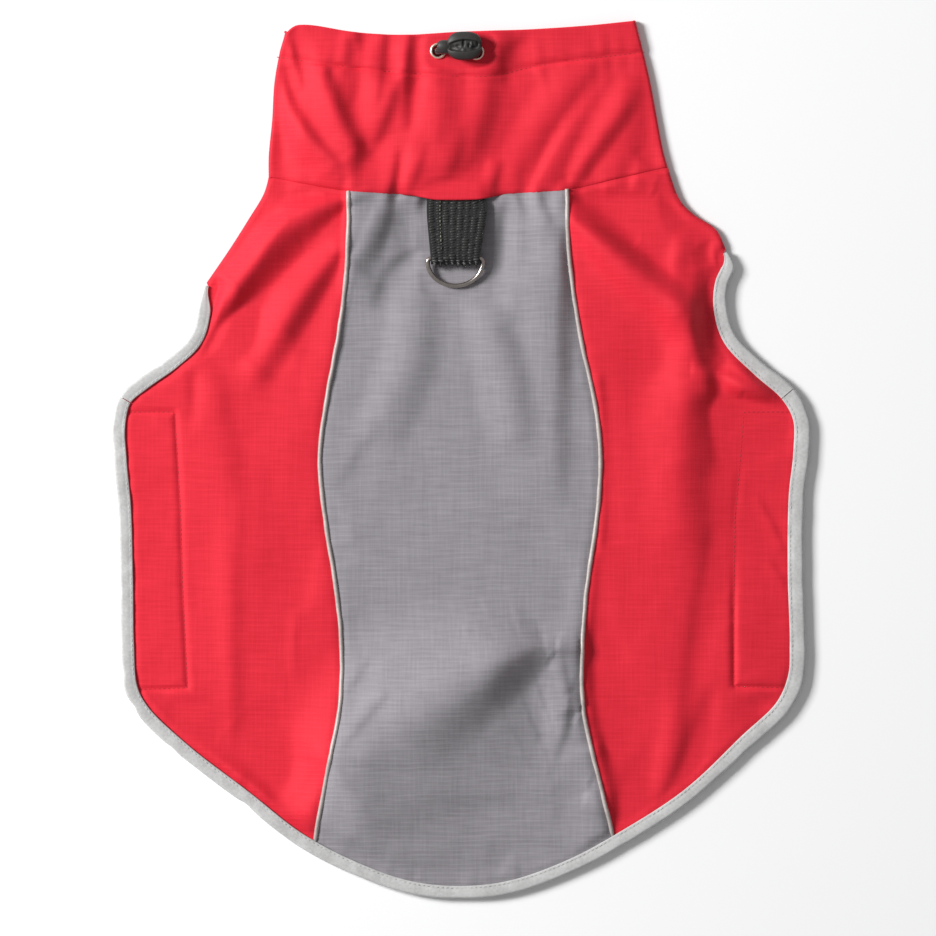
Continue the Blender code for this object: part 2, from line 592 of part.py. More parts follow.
def ring_tube(name, outer, inner, finish_name):
    """Open tube between an outer and an inner row of rings, of the collar's layout."""
    rows, width, bore = len(outer), len(outer[0]), len(inner[0])
    points = [point for ring in outer for point in ring]
    shift = len(points)
    points += [point for ring in inner for point in ring]
    faces = []
    for i in range(rows - 1):
        for j in range(width):
            k = (j + 1) % width
            faces.append([i * width + j, i * width + k, (i + 1) * width + k, (i + 1) * width + j])
        for j in range(bore):
            k = (j + 1) % bore
            a, b = shift + i * bore, shift + (i + 1) * bore
            faces.append([a + k, a + j, b + j, b + k])
    n, m = COLLAR_UNDER_COLUMNS, COLLAR_COLUMNS
    for row in (0, rows - 1):
        a, b = row * width, shift + row * bore
        for j in range(n - 1):
            faces.append([a + j, a + j + 1, b + j + 1, b + j])
        for j in range(m - 1):
            faces.append([a + n + 3 + j, a + n + 4 + j, b + n + j + 1, b + n + j])
        faces.append([a + n - 1, a + n, a + n + 1, a + n + 2, a + n + 3, b + n, b + n - 1])
        left = a + n + 3 + m
        faces.append([left - 1, left, left + 1, left + 2, a, b, b + bore - 1])
    return solid(name, points, faces, finish_name)


def cut(target, cutters):
    """Cut shapes out of a piece."""
    for cutter in cutters:
        cutter.hide_render = True
        cutter.display_type = "WIRE"
        modifier = target.modifiers.new("cut", "BOOLEAN")
        modifier.operation = "DIFFERENCE"
        modifier.solver = "EXACT"
        modifier.object = cutter


def turned(name, profile, centre, sides, finish_name):
    """Ring turned about the vertical through a centre, from a closed profile of r and z."""
    rings = []
    for number in range(sides):
        a = math.tau * number / sides
        rings.append([(centre[0] + r * math.cos(a), centre[1] + r * math.sin(a), z)
                      for r, z in profile])
    return sweep(name, rings, finish_name, closed=True)


def eyelet(name, centre):
    """Two-sided rolled eyelet set through the collar's upper layer."""
    cloth_low = LOCK_REST_HEIGHT
    cloth_top = LOCK_REST_HEIGHT + WALL + CASING_EXTRA
    top, bottom = cloth_top + GAP, cloth_low - GAP
    floor = bottom - EYELET_WASHER
    profile = [
        (EYELET_HOLE, floor), (EYELET_RADIUS - 0.2, floor),
        (EYELET_RADIUS - 0.2, bottom), (EYELET_BARREL, bottom), (EYELET_BARREL, top),
        (EYELET_RADIUS, top), (EYELET_RADIUS - 0.2, top + EYELET_FLANGE * 0.7),
        (EYELET_RADIUS - 0.7, top + EYELET_FLANGE), (EYELET_HOLE, top + EYELET_FLANGE * 0.6),
    ]
    return turned(name, profile, centre, EYELET_SIDES, "pale brass")


def eyelet_hole(centre):
    """Cutter for an eyelet's hole in the collar's upper layer."""
    reach = EYELET_BARREL + GAP
    low, high = LOCK_REST_HEIGHT - 1.2, LOCK_REST_HEIGHT + 4.0
    rings = []
    for z in (low, high):
        rings.append([(centre[0] + reach * math.cos(a), centre[1] + reach * math.sin(a), z)
                      for a in np.arange(16) * math.tau / 16])
    return sweep("eyelet hole", rings, "pale brass")


def lock_bottom():
    """Height of the cord lock's underside."""
    return LOCK_REST_HEIGHT + WALL + CASING_EXTRA + GAP + EYELET_FLANGE + GAP


def cord_route():
    """Centre line of the elastic: out of one eyelet, through the lock, into the other."""
    start = LOCK_REST_HEIGHT - 1.0
    run = lock_bottom() + CORD_ABOVE_LOCK_FLOOR
    (x0, y0), (x1, y1) = EYELET_LEFT, EYELET_RIGHT
    quarter = [(CORD_BEND * (1 - math.cos(a)), run - CORD_BEND * (1 - math.sin(a)))
               for a in np.radians((0, 30, 60, 90))]
    points = [(x0, y0, start)]
    points += [(x0 + shift, y0, z) for shift, z in quarter]
    points.append(((x0 + x1) / 2, (y0 + y1) / 2, run))
    points += [(x1 - shift, y1, z) for shift, z in quarter[::-1]]
    points.append((x1, y1, start))
    return points


def cord_lock():
    """Oval barrel lock with an almond window in its face and a bore for the elastic."""
    length, width, height = LOCK_SIZE
    low = lock_bottom()
    levels = [(0.0, 0.82), (0.14, 0.95), (0.45, 1.0), (0.75, 0.96), (0.93, 0.84), (1.0, 0.70)]
    rings = [oval(LOCK_CENTRE, length * share, width * share, low + height * level, 28)
             for level, share in levels]
    body = sweep("cord_lock", rings, "grey moulded plastic")
    window_length, window_width, window_depth = LOCK_WINDOW
    window_centre = (LOCK_CENTRE[0] - 0.5, LOCK_CENTRE[1])
    window = sweep("lock window", [oval(window_centre, window_length, window_width, z, 20)
                                   for z in (low + height - window_depth, low + height + 1.0)],
                   "grey moulded plastic")
    bore = sweep("lock bore", tube_rings(cord_route(), CORD_RADIUS + GAP, 12),
                 "grey moulded plastic")
    cut(body, [window, bore])
    return body


def oval(centre, length, width, z, sides):
    """Level oval ring of points."""
    ring = []
    for number in range(sides):
        a = math.tau * number / sides
        ring.append((centre[0] + length / 2 * math.cos(a), centre[1] + width / 2 * math.sin(a), z))
    return ring


def web_levels():
    """Lowest height of the webbing, and the height of the ring's bar."""
    low = WEB_REST_HEIGHT + WALL + GAP
    return low, low + WEB_THICKNESS + GAP + RING_WIRE_RADIUS


def webbing_loop(seam_y):
    """Webbing strap, folded round the ring's bar and sewn into the collar seam."""
    low, bar = web_levels()
    inner = RING_WIRE_RADIUS + GAP
    outer = inner + WEB_THICKNESS
    end = seam_y - GAP
    upper = low + WEB_THICKNESS + GAP
    run = end - RING_BAR_Y
    lower_ys = (end, RING_BAR_Y + run / 2, RING_BAR_Y)
    outside = [(y, low) for y in lower_ys]
    inside_run = [(y, low + WEB_THICKNESS) for y in lower_ys]
    for a in (-60, -30, 0, 30, 60, 90):
        a = math.radians(a)
        outside.append((RING_BAR_Y - outer * math.cos(a), bar + outer * math.sin(a)))
        inside_run.append((RING_BAR_Y - inner * math.cos(a), bar + inner * math.sin(a)))
    rise = bar + inner - upper
    for share in (0.25, 0.5, 0.75, 1.0):
        z = upper + rise * (1.0 - ramp(share, 0.0, 1.0))
        outside.append((RING_BAR_Y + run * share, z + WEB_THICKNESS))
        inside_run.append((RING_BAR_Y + run * share, z))
    profile = outside + inside_run[::-1]
    rings = []
    for side in (-1, 1):
        ring = []
        for y, z in profile:
            share = min(max((y - RING_BAR_Y) / run, 0.0), 1.0)
            half = WEB_HALF_WIDTH + WEB_FLARE * share
            ring.append((RING_CENTRE_X + WEB_LEAN * share + side * half, y, z))
        rings.append(ring)
    return sweep("webbing_loop", rings, "black webbing")


def d_ring():
    """Wire ring with a straight bar, lying back on the cloth from its bar."""
    _, bar = web_levels()
    rest = WEB_REST_HEIGHT + WALL + GAP + RING_WIRE_RADIUS
    tilt = math.asin((bar - rest) / RING_DEPTH)
    flat = [(x, 0.0) for x in np.linspace(-1, 1, 7) * (RING_HALF_WIDTH - RING_CORNER)]
    for a in (60, 30):
        a = math.radians(a)
        flat.append((RING_HALF_WIDTH - RING_CORNER * (1 - math.cos(a)),
                     -RING_CORNER * (1 - math.sin(a))))
    for a in np.radians(np.linspace(0, -180, 25)):
        flat.append((RING_HALF_WIDTH * math.cos(a),
                     -RING_CORNER + (RING_DEPTH - RING_CORNER) * math.sin(a)))
    for a in (150, 120):
        a = math.radians(a)
        flat.append((-RING_HALF_WIDTH + RING_CORNER * (1 + math.cos(a)),
                     -RING_CORNER * (1 - math.sin(a))))
    path = [(RING_CENTRE_X + x, RING_BAR_Y + y * math.cos(tilt), bar + y * math.sin(tilt))
            for x, y in flat]
    return sweep("d_ring", tube_rings(path, RING_WIRE_RADIUS, 10, closed=True), "steel wire",
                 closed=True, origin=(RING_CENTRE_X, RING_BAR_Y, bar))


def piping(name, seam, seam_end):
    """Corded piping that stands a little proud of the seam between two panels."""
    lowest = PIPING_SEARCH_Y
    while distance_to((where_level(seam, lowest), lowest), EDGE)[0] > BINDING_WIDTH + PIPING_RADIUS:
        lowest -= 0.25
    ys = seam[:, 1][(seam[:, 1] > lowest + END_CLEAR) & (seam[:, 1] < seam_end - END_CLEAR)]
    ys = [seam_end - GAP, *ys, lowest]
    plan = np.array([(where_level(seam, y), y) for y in ys])
    heights = cloth_height(plan) + WALL / 2 + CORD_PROUD
    path = np.column_stack([plan, heights])
    return sweep(name, tube_rings(path, PIPING_RADIUS, 8), "reflective piping")


def plate(name, outline, bottom, top, finish_name):
    """Flat plate over an outline."""
    rings = [[(x, y, z) for x, y in outline] for z in (bottom, top)]
    return sweep(name, rings, finish_name)


def hook_tape(name, stitching, side):
    """Closure tape under a wing, inside its stitched rectangle."""
    (_, top), (_, bottom) = stitching[0], stitching[-1]
    edge = inward(EDGE, STRIP_WIDTH)
    edge = edge[(edge[:, 0] * side > WING_X) & (edge[:, 1] < WING_TOP)]
    edge = edge[np.argsort(-edge[:, 1])]
    outer = edge[(edge[:, 1] < top - END_CLEAR) & (edge[:, 1] > bottom + END_CLEAR)]
    reach = [np.interp(y, edge[::-1, 1], edge[::-1, 0]) for y in (top, bottom)]
    inner = stitching[1:-1]
    outline = [(reach[0], top), *map(tuple, outer), (reach[1], bottom), *inner[::-1]]
    return plate(name, outline, 0.0, WALL, "black closure tape")


def loop_tape(name, side):
    """Closure tape under the chest panel, on one side of it."""
    near, far = sorted(x * side for x in LOOP_TAPE_X)
    low, high = LOOP_TAPE_Y
    outline = [(near, low), (far, low), (far, high), (near, high)]
    return plate(name, outline, 0.0, WALL, "black closure tape")


def body_panels(grid):
    """Grey back panel and the two red side panels."""
    top = [(x, y - GAP) for x, y in grid[0]]
    top[0] = (SHOULDER_LEFT[0][0], SHOULDER_LEFT[0][1] - GAP)
    top[-1] = (SHOULDER_RIGHT[0][0], SHOULDER_RIGHT[0][1] - GAP)
    top = np.array(top)
    rim = inward(EDGE, FOLD_WALL + GAP)
    strip = inward(EDGE, STRIP_WIDTH)
    shoulder_left = spline(SHOULDER_LEFT, step=EDGE_STEP)
    shoulder_right = spline(SHOULDER_RIGHT, step=EDGE_STEP)
    hem_cut = {}
    top_cut = {}
    strip_cut = {}
    first, last = corner_numbers()
    for key, seam, side in (("a", SEAM_LEFT, -1), ("b", SEAM_LEFT, 1),
                            ("c", SEAM_RIGHT, -1), ("d", SEAM_RIGHT, 1)):
        number, point = split_at_seam(rim[first:last], seam, side)
        hem_cut[key] = (number + first, point)
        number, point = split_at_seam(strip[first:last], seam, side)
        strip_cut[key] = (number + first, point)
        top_cut[key] = split_at_seam(top, seam, side)
    guides = fold_guides()

    def panel(name, outline, line, finish_name):
        return cloth_panel(name, outline, [line], cloth_height, finish_name, guides=guides)

    n, point = hem_cut["a"]
    k, seam_point = top_cut["a"]
    m, strip_point = strip_cut["a"]
    left_outline = [*rim[:n], point, *seam_run(SEAM_LEFT, -1, point[1], seam_point[1])[::-1],
                    seam_point, *top[:k][::-1], *shoulder_left[1:-1]]
    panel("side_panel_left", left_outline, np.vstack([strip[:m - 1], strip_point]),
          "red ripstop")

    n1, point1 = hem_cut["b"]
    n2, point2 = hem_cut["c"]
    k1, top1 = top_cut["b"]
    k2, top2 = top_cut["c"]
    m1, strip1 = strip_cut["b"]
    m2, strip2 = strip_cut["c"]
    back_outline = [point1, *rim[n1:n2], point2,
                    *seam_run(SEAM_RIGHT, -1, point2[1], top2[1])[::-1], top2,
                    *top[k1:k2][::-1], top1, *seam_run(SEAM_LEFT, 1, point1[1], top1[1])]
    panel("back_panel", back_outline, np.vstack([strip1, strip[m1 + 1:m2 - 1], strip2]),
          "grey ripstop")

    n, point = hem_cut["d"]
    k, seam_point = top_cut["d"]
    m, strip_point = strip_cut["d"]
    right_outline = [point, *rim[n:], *shoulder_right[1:-1][::-1], *top[k:][::-1], seam_point,
                     *seam_run(SEAM_RIGHT, 1, point[1], seam_point[1])]
    panel("side_panel_right", right_outline, np.vstack([strip_point, strip[m + 1:]]),
          "red ripstop")
    return top_cut


def chest_panel(grid):
    """Panel under the back that covers the dog's chest, from the collar to the belly."""
    under = np.linspace(0, COLLAR_COLUMNS - 1, COLLAR_UNDER_COLUMNS).round().astype(int)
    top = [(x, y - GAP) for x, y in grid[0][under]]
    rim = inward(CHEST, FOLD_WALL + GAP)
    strip = inward(CHEST, STRIP_WIDTH)
    left = spline(SHOULDER_LEFT, step=CHEST_EDGE_STEP)
    right = spline(SHOULDER_RIGHT, step=CHEST_EDGE_STEP)
    outline = [*rim, *CHEST_CORNER_RIGHT, *right[1:-1][::-1], *top[::-1], *left[1:-1],
               *CHEST_CORNER_LEFT]
    return cloth_panel("chest_panel", outline, [strip], chest_height, "red ripstop",
                       step=CHEST_GRID_STEP)


def build():
    """Make every piece of the vest."""
    clear_scene()
    grid = collar_grid()
    neck = collar(grid)
    cut(neck, [eyelet_hole(EYELET_LEFT), eyelet_hole(EYELET_RIGHT)])
    top_cut = body_panels(grid)
    chest_panel(grid)
    piping("piping_left", SEAM_LEFT, top_cut["a"][1][1])
    piping("piping_right", SEAM_RIGHT, top_cut["d"][1][1])
    left, right = corner_numbers()
    binding("hem_binding", EDGE, left, right)
    binding("armhole_binding_left", EDGE, 0, left, trim=(0.0, GAP))
    binding("armhole_binding_right", EDGE, right, trim=(GAP, 0.0))
    binding("chest_binding", CHEST, trim=(2 * GAP, 2 * GAP))
    hook_tape("hook_tape_left", TAPE_LEFT, -1)
    hook_tape("hook_tape_right", TAPE_RIGHT, 1)
    loop_tape("loop_tape_left", -1)
    loop_tape("loop_tape_right", 1)
    webbing_loop(WEB_END_Y)
    d_ring()
    eyelet("eyelet_left", EYELET_LEFT)
    eyelet("eyelet_right", EYELET_RIGHT)
    cord_lock()
    sweep("elastic_cord", tube_rings(cord_route(), CORD_RADIUS, 10), "black elastic")


build()
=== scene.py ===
# %% [markdown]
# # Dog vest, laid flat with its back up
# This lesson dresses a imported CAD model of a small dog's vest: a red ripstop shell with
# a funnel collar, a grey back panel between two lines of piping, bound edges, closure
# tapes, a webbing loop with a D-ring, and a cord lock on elastic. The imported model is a
# fixed frame. Each cloth piece here is a thin shell on the form of its CAD solid, with
# the creases, sewing and weave that the solid leaves out. Sizes are in millimetres until
# a mesh is made, because a maker thinks in millimetres.

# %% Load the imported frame
import math

import bmesh
import bpy
import numpy as np
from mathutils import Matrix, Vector
from mathutils.geometry import delaunay_2d_cdt


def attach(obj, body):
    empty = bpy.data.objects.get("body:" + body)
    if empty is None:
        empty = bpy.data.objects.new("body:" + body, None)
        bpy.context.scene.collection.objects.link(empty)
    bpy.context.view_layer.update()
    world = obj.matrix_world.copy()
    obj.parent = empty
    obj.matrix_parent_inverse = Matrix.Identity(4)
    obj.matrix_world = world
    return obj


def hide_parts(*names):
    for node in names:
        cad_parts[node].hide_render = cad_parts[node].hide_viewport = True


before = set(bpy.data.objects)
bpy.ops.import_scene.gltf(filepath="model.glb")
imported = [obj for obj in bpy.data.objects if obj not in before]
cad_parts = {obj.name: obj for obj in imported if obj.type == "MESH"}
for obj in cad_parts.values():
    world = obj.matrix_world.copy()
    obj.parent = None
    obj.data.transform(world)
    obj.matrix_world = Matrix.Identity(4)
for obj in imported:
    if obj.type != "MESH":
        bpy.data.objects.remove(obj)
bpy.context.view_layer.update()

MM = 0.001
BODY = "vest"

# %% [markdown]
# ## Camera, floor and light
# The photo looks straight down, so the camera hangs over the vest. A long lens from
# 3 m keeps the perspective weak. The frame of the photo is 374.4 mm wide at this
# scale. One large soft light stands on the left and a little towards the collar, and a
# pale world fills the shadows, which is what the shading of the folds shows.

# %% Camera over the vest
VIEW_WIDTH = 0.3744
VIEW_CENTRE = (0.0028, -0.0036)
CAMERA_HEIGHT = 3.0

camera_data = bpy.data.cameras.new("camera")
camera_data.sensor_width = 36.0
camera_data.lens = camera_data.sensor_width * CAMERA_HEIGHT / VIEW_WIDTH
camera_data.clip_end = 20.0
camera = bpy.data.objects.new("camera", camera_data)
camera.location = (*VIEW_CENTRE, CAMERA_HEIGHT + 0.004)
bpy.context.scene.collection.objects.link(camera)
bpy.context.scene.camera = camera
print("camera lens", round(camera_data.lens, 1), "mm")

# %% Floor, lights and world
def linear(hex_colour):
    """Linear colour of an sRGB hex value."""
    channels = [int(hex_colour[i:i + 2], 16) / 255 for i in (1, 3, 5)]
    return tuple(c / 12.92 if c <= 0.04045 else ((c + 0.055) / 1.055) ** 2.4 for c in channels)


def soft_light(name, place, size, power):
    """Square area light that points at the middle of the vest."""
    data = bpy.data.lights.new(name, "AREA")
    data.size = size
    data.energy = power
    lamp = bpy.data.objects.new(name, data)
    lamp.location = place
    lamp.rotation_euler = (-Vector(place)).to_track_quat("-Z", "Y").to_euler()
    bpy.context.scene.collection.objects.link(lamp)


soft_light("window light", (-2.10, 0.77, 1.50), 0.80, 106.0)

world = bpy.data.worlds.new("studio")
world.use_nodes = True
world.node_tree.nodes["Background"].inputs["Color"].default_value = (*linear("#FDFDFF"), 1.0)
world.node_tree.nodes["Background"].inputs["Strength"].default_value = 0.30
bpy.context.scene.world = world
bpy.context.scene.view_settings.view_transform = "Standard"

floor_mesh = bpy.data.meshes.new("floor")
floor_mesh.from_pydata([(-3, -3, 0), (3, -3, 0), (3, 3, 0), (-3, 3, 0)], [], [(0, 1, 2, 3)])
floor = bpy.data.objects.new("floor", floor_mesh)
floor.location.z = -0.0002
bpy.context.scene.collection.objects.link(floor)
floor_paint = bpy.data.materials.new("matt white paint")
floor_paint.use_nodes = True
floor_shader = floor_paint.node_tree.nodes["Principled BSDF"]
floor_shader.inputs["Base Color"].default_value = (*linear("#F7F7F7"), 1.0)
floor_shader.inputs["Roughness"].default_value = 0.9
floor_mesh.materials.append(floor_paint)
print("floor, world and one soft light")

# %% [markdown]
# ## Curves and the vest's outline
# The outline comes from a short table of points. A smooth curve runs through them. Its
# knots are spaced by the root of the distance, so that it doesn't overshoot. The same
# curves give the seams, the bindings and the stitch lines, so every piece meets its
# neighbour.

# %% Steps, lengths and directions along a path
def ramp(value, start, end):
    """Smooth step from 0 at start to 1 at end."""
    t = np.clip((value - start) / (end - start), 0.0, 1.0)
    return t * t * (3.0 - 2.0 * t)


def run_along(path):
    """Length of the path up to each of its points."""
    return np.concatenate([[0.0], np.cumsum(np.linalg.norm(np.diff(path, axis=0), axis=1))])


def line_length(line, closed=False):
    """Length of a line of points."""
    line = np.vstack([line, line[:1]]) if closed else np.asarray(line)
    return np.linalg.norm(np.diff(line, axis=0), axis=1).sum()


def unit(directions):
    """Each direction scaled to length 1."""
    return directions / np.linalg.norm(directions, axis=1)[:, None]


def ahead_of(path):
    """Unit direction along a path at each of its points."""
    return unit(np.gradient(np.asarray(path, float), axis=0))


def left_of(ahead):
    """Flat directions turned a quarter to the left."""
    return np.column_stack([-ahead[:, 1], ahead[:, 0]])


def inward(path, distance):
    """The flat path moved to its left, which is into the cloth here."""
    return np.asarray(path) + distance * left_of(ahead_of(path))


print("a line 3 across and 4 up is", line_length([(0.0, 0.0), (3.0, 4.0)]), "long")

# %% Smooth curves
SPLINE_PARTS = 16


def resample(path, count):
    """The path with count points at equal distances along it."""
    path = np.asarray(path, float)
    run = run_along(path)
    stations = np.linspace(0.0, run[-1], count)
    return np.column_stack([np.interp(stations, run, column) for column in path.T])


def spline(points, step=None, count=None):
    """Smooth curve through the points, with a point every step, or count points in all."""
    points = np.asarray(points, float)
    ends = np.vstack([2 * points[0] - points[1], points, 2 * points[-1] - points[-2]])
    dense = []
    for before, start, end, after in zip(ends, ends[1:], ends[2:], ends[3:]):
        knots = [0.0]
        for a, b in ((before, start), (start, end), (end, after)):
            knots.append(knots[-1] + math.sqrt(np.linalg.norm(b - a)))
        k0, k1, k2, k3 = knots
        for t in np.linspace(k1, k2, SPLINE_PARTS, endpoint=False):
            a1 = ((k1 - t) * before + (t - k0) * start) / (k1 - k0)
            a2 = ((k2 - t) * start + (t - k1) * end) / (k2 - k1)
            a3 = ((k3 - t) * end + (t - k2) * after) / (k3 - k2)
            b1 = ((k2 - t) * a1 + (t - k0) * a2) / (k2 - k0)
            b2 = ((k3 - t) * a2 + (t - k1) * a3) / (k3 - k1)
            dense.append(((k2 - t) * b1 + (t - k1) * b2) / (k2 - k1))
    dense.append(points[-1])
    return resample(dense, count or max(2, round(line_length(dense) / step) + 1))


arch = spline([(0.0, 0.0), (5.0, 5.0), (10.0, 0.0)], step=1.0)
print("an arch over 10 mm has", len(arch), "points, 1 mm apart")

# %% Places beside a path
def along_and_away(points, path):
    """How far along a polyline each point lies, and its distance from it."""
    points = np.atleast_2d(points)
    best, at, run = np.full(len(points), np.inf), np.zeros(len(points)), 0.0
    for start, end in zip(path[:-1], path[1:]):
        along = end - start
        offset = points - start
        t = np.clip(offset @ along / (along @ along), 0.0, 1.0)
        away = ((offset - t[:, None] * along) ** 2).sum(axis=1)
        closer = away < best
        best[closer] = away[closer]
        at[closer] = run + t[closer] * math.sqrt(along @ along)
        run += math.sqrt(along @ along)
    return at, np.sqrt(best)


def distance_to(points, path):
    """Distance from each point to a polyline."""
    return along_and_away(points, path)[1]


print("the arch passes", distance_to((5.0, 0.0), arch).round(2), "mm from its middle")

# %% Outline, seams and stitch lines, columns x and y
BOUND_EDGE = [
    (-102.5, 69.6), (-104.8, 61.5), (-108, 49.5), (-116.5, 41), (-128.5, 32.4),
    (-136.6, 25.2), (-139.5, 14), (-139, 0), (-137.2, -20), (-136.4, -50),
    (-136, -75), (-134.6, -92), (-129.6, -102), (-112.4, -118.6), (-88.4, -137),
    (-66, -154.4), (-42, -166.8), (-20, -174.2), (2, -176), (22, -173.4),
    (46, -164.6), (68, -152.6), (91.6, -137.2), (115.6, -115.6), (131.4, -101.2),
    (137.2, -88), (138, -74), (137.2, -45), (137.6, -15), (139.4, 2),
    (139.2, 17), (133.4, 28), (121, 38.6), (109.8, 49.6), (106.4, 61),
    (106.9, 69.4), (109.5, 76.6), (106.4, 83),
]
SHOULDER_LEFT = [(-77, 112.4), (-79, 106), (-85, 96), (-92.6, 84), (-102.5, 69.6)]
SHOULDER_RIGHT = [(82.8, 116.4), (87.6, 103.6), (93, 98), (102, 91.8), (106.4, 83)]
COLLAR_SEAM = [
    (-77, 112.4), (-56.4, 108.4), (-46, 106.8), (-20, 105.2), (0, 104.8),
    (25, 106), (43.6, 107.4), (61.6, 111.4), (82.8, 116.4),
]
COLLAR_TOP = [
    (-70.5, 174.2), (-62, 174.4), (-44, 171.6), (-24, 170.4), (0, 171.6),
    (28, 172.6), (52, 174.2), (70, 176),
]
COLLAR_LEFT = [(-77, 112.4), (-77, 121), (-75.6, 136), (-74.6, 152), (-70.5, 174.2)]
COLLAR_RIGHT = [(82.8, 116.4), (80.8, 124), (78, 139), (75.4, 153), (70, 176)]
CASING_LINE = [
    (-73.2, 160.8), (-43, 156.4), (-19, 154.2), (12, 153.2), (28, 156.8),
    (50, 160), (73, 162.8),
]
CHEST_EDGE = [
    (-86, 70.6), (-80.5, 52), (-78, 30), (-82, 5), (-87, -25),
    (-85, -52), (-72, -73), (-46, -85), (0, -89), (46, -85),
    (72, -73), (85, -52), (87, -25), (83, 5), (80, 30),
    (83.5, 58), (90, 84.4),
]
CHEST_CORNERS = ([(98.8, 84.9), (104.6, 85.0)], [(-100.6, 71.4), (-94.8, 71.2)])
# Piping seams: y, left x and right x
SEAMS = [
    (112, -45, 42.5), (92, -45, 42.5), (70, -46.2, 44.4), (45, -49.8, 48.6),
    (20, -54.4, 53.9), (-2, -56.5, 55.7), (-26, -54.1, 54.1), (-50, -50.2, 50.5),
    (-75, -47.8, 48.5), (-100, -48.6, 49), (-122, -52.8, 53.6),
    (-146, -57.3, 59.6), (-166, -60, 64),
]
TAPE_LEFT = [(-132.6, 18.8), (-114.4, 18.8), (-112.2, -20), (-111.4, -50), (-109.4, -91.6),
             (-128.4, -92.2)]
TAPE_RIGHT = [(132.4, 18.8), (113.2, 18.8), (111.8, 0), (109.6, -24), (109.2, -56),
              (109.2, -91), (130.2, -91.6)]
WING_CORNERS = ((-136.6, 25.2), (133.4, 28.0))

FINE_STEP = 1.2
EDGE = spline(BOUND_EDGE, step=FINE_STEP)
CHEST = spline(CHEST_EDGE, step=3.0)
SEAM_LEFT = spline([(left, y) for y, left, right in SEAMS], step=FINE_STEP)
SEAM_RIGHT = spline([(right, y) for y, left, right in SEAMS], step=FINE_STEP)
SIDE_LEFT = np.vstack([spline(COLLAR_LEFT, step=3.0)[:0:-1], spline(SHOULDER_LEFT, step=3.0)])
SIDE_RIGHT = np.vstack([spline(COLLAR_RIGHT, step=3.0)[:0:-1], spline(SHOULDER_RIGHT, step=3.0)])
CASING = spline(CASING_LINE, step=2.0)
NECK = spline(COLLAR_SEAM, step=2.0)
print("bound edge", round(line_length(EDGE)), "mm long")

# %% [markdown]
# ## One surface for all the upper cloth
# The panels and the collar are one laid-out sheet in space, so a single height function
# gives how far the cloth's lower face lies above the table. It puffs up away from the
# sewn edges, is pulled down along the stitching of the closure tapes, is level under the
# hardware, and stays clear of the chest panel below. Where a bound edge, a fold and the
# chest meet, a soft maximum keeps the surface smooth.

# %% Base height of the upper cloth, in millimetres above the table
WALL = 1.1
GAP = 0.3
BASE = WALL + GAP
BINDING_WIDTH = 5.2
STRIP_WIDTH = 5.9
SIDE_FOLD_RADIUS = 1.25
PUFF = 2.3
CHEST_LIFT = 1.6
CHEST_EDGE_REACH = (7.0, 40.0)
CHEST_END = (-62.0, -40.0)


def around(points, spot, grow=1.6):
    """1 inside a rounded box round a spot, falling to 0 at grow times its reach."""
    centre, reach = np.array(spot)
    away = np.abs(points - centre) / reach
    return 1.0 - ramp((away ** 4).sum(axis=1) ** 0.25, 1.0, grow)


def soft_max(a, b, blend=0.35):
    """The larger of two heights, rounded where they cross."""
    return b + blend * np.logaddexp(0.0, (a - b) / blend)


def soft_floor(points, play, freedom):
    """Lowest height that clears the chest panel and its binding."""
    near_edge = 1.0 - ramp(distance_to(points, CHEST), *CHEST_EDGE_REACH)
    over_chest = ramp(-points[:, 1], *CHEST_END) * freedom * CHEST_LIFT
    lift = np.maximum(CHEST_LIFT * near_edge, over_chest)
    return BASE + np.minimum(lift, CHEST_LIFT * play)


print("cloth lies", BASE, "mm up and puffs by", PUFF, "mm")
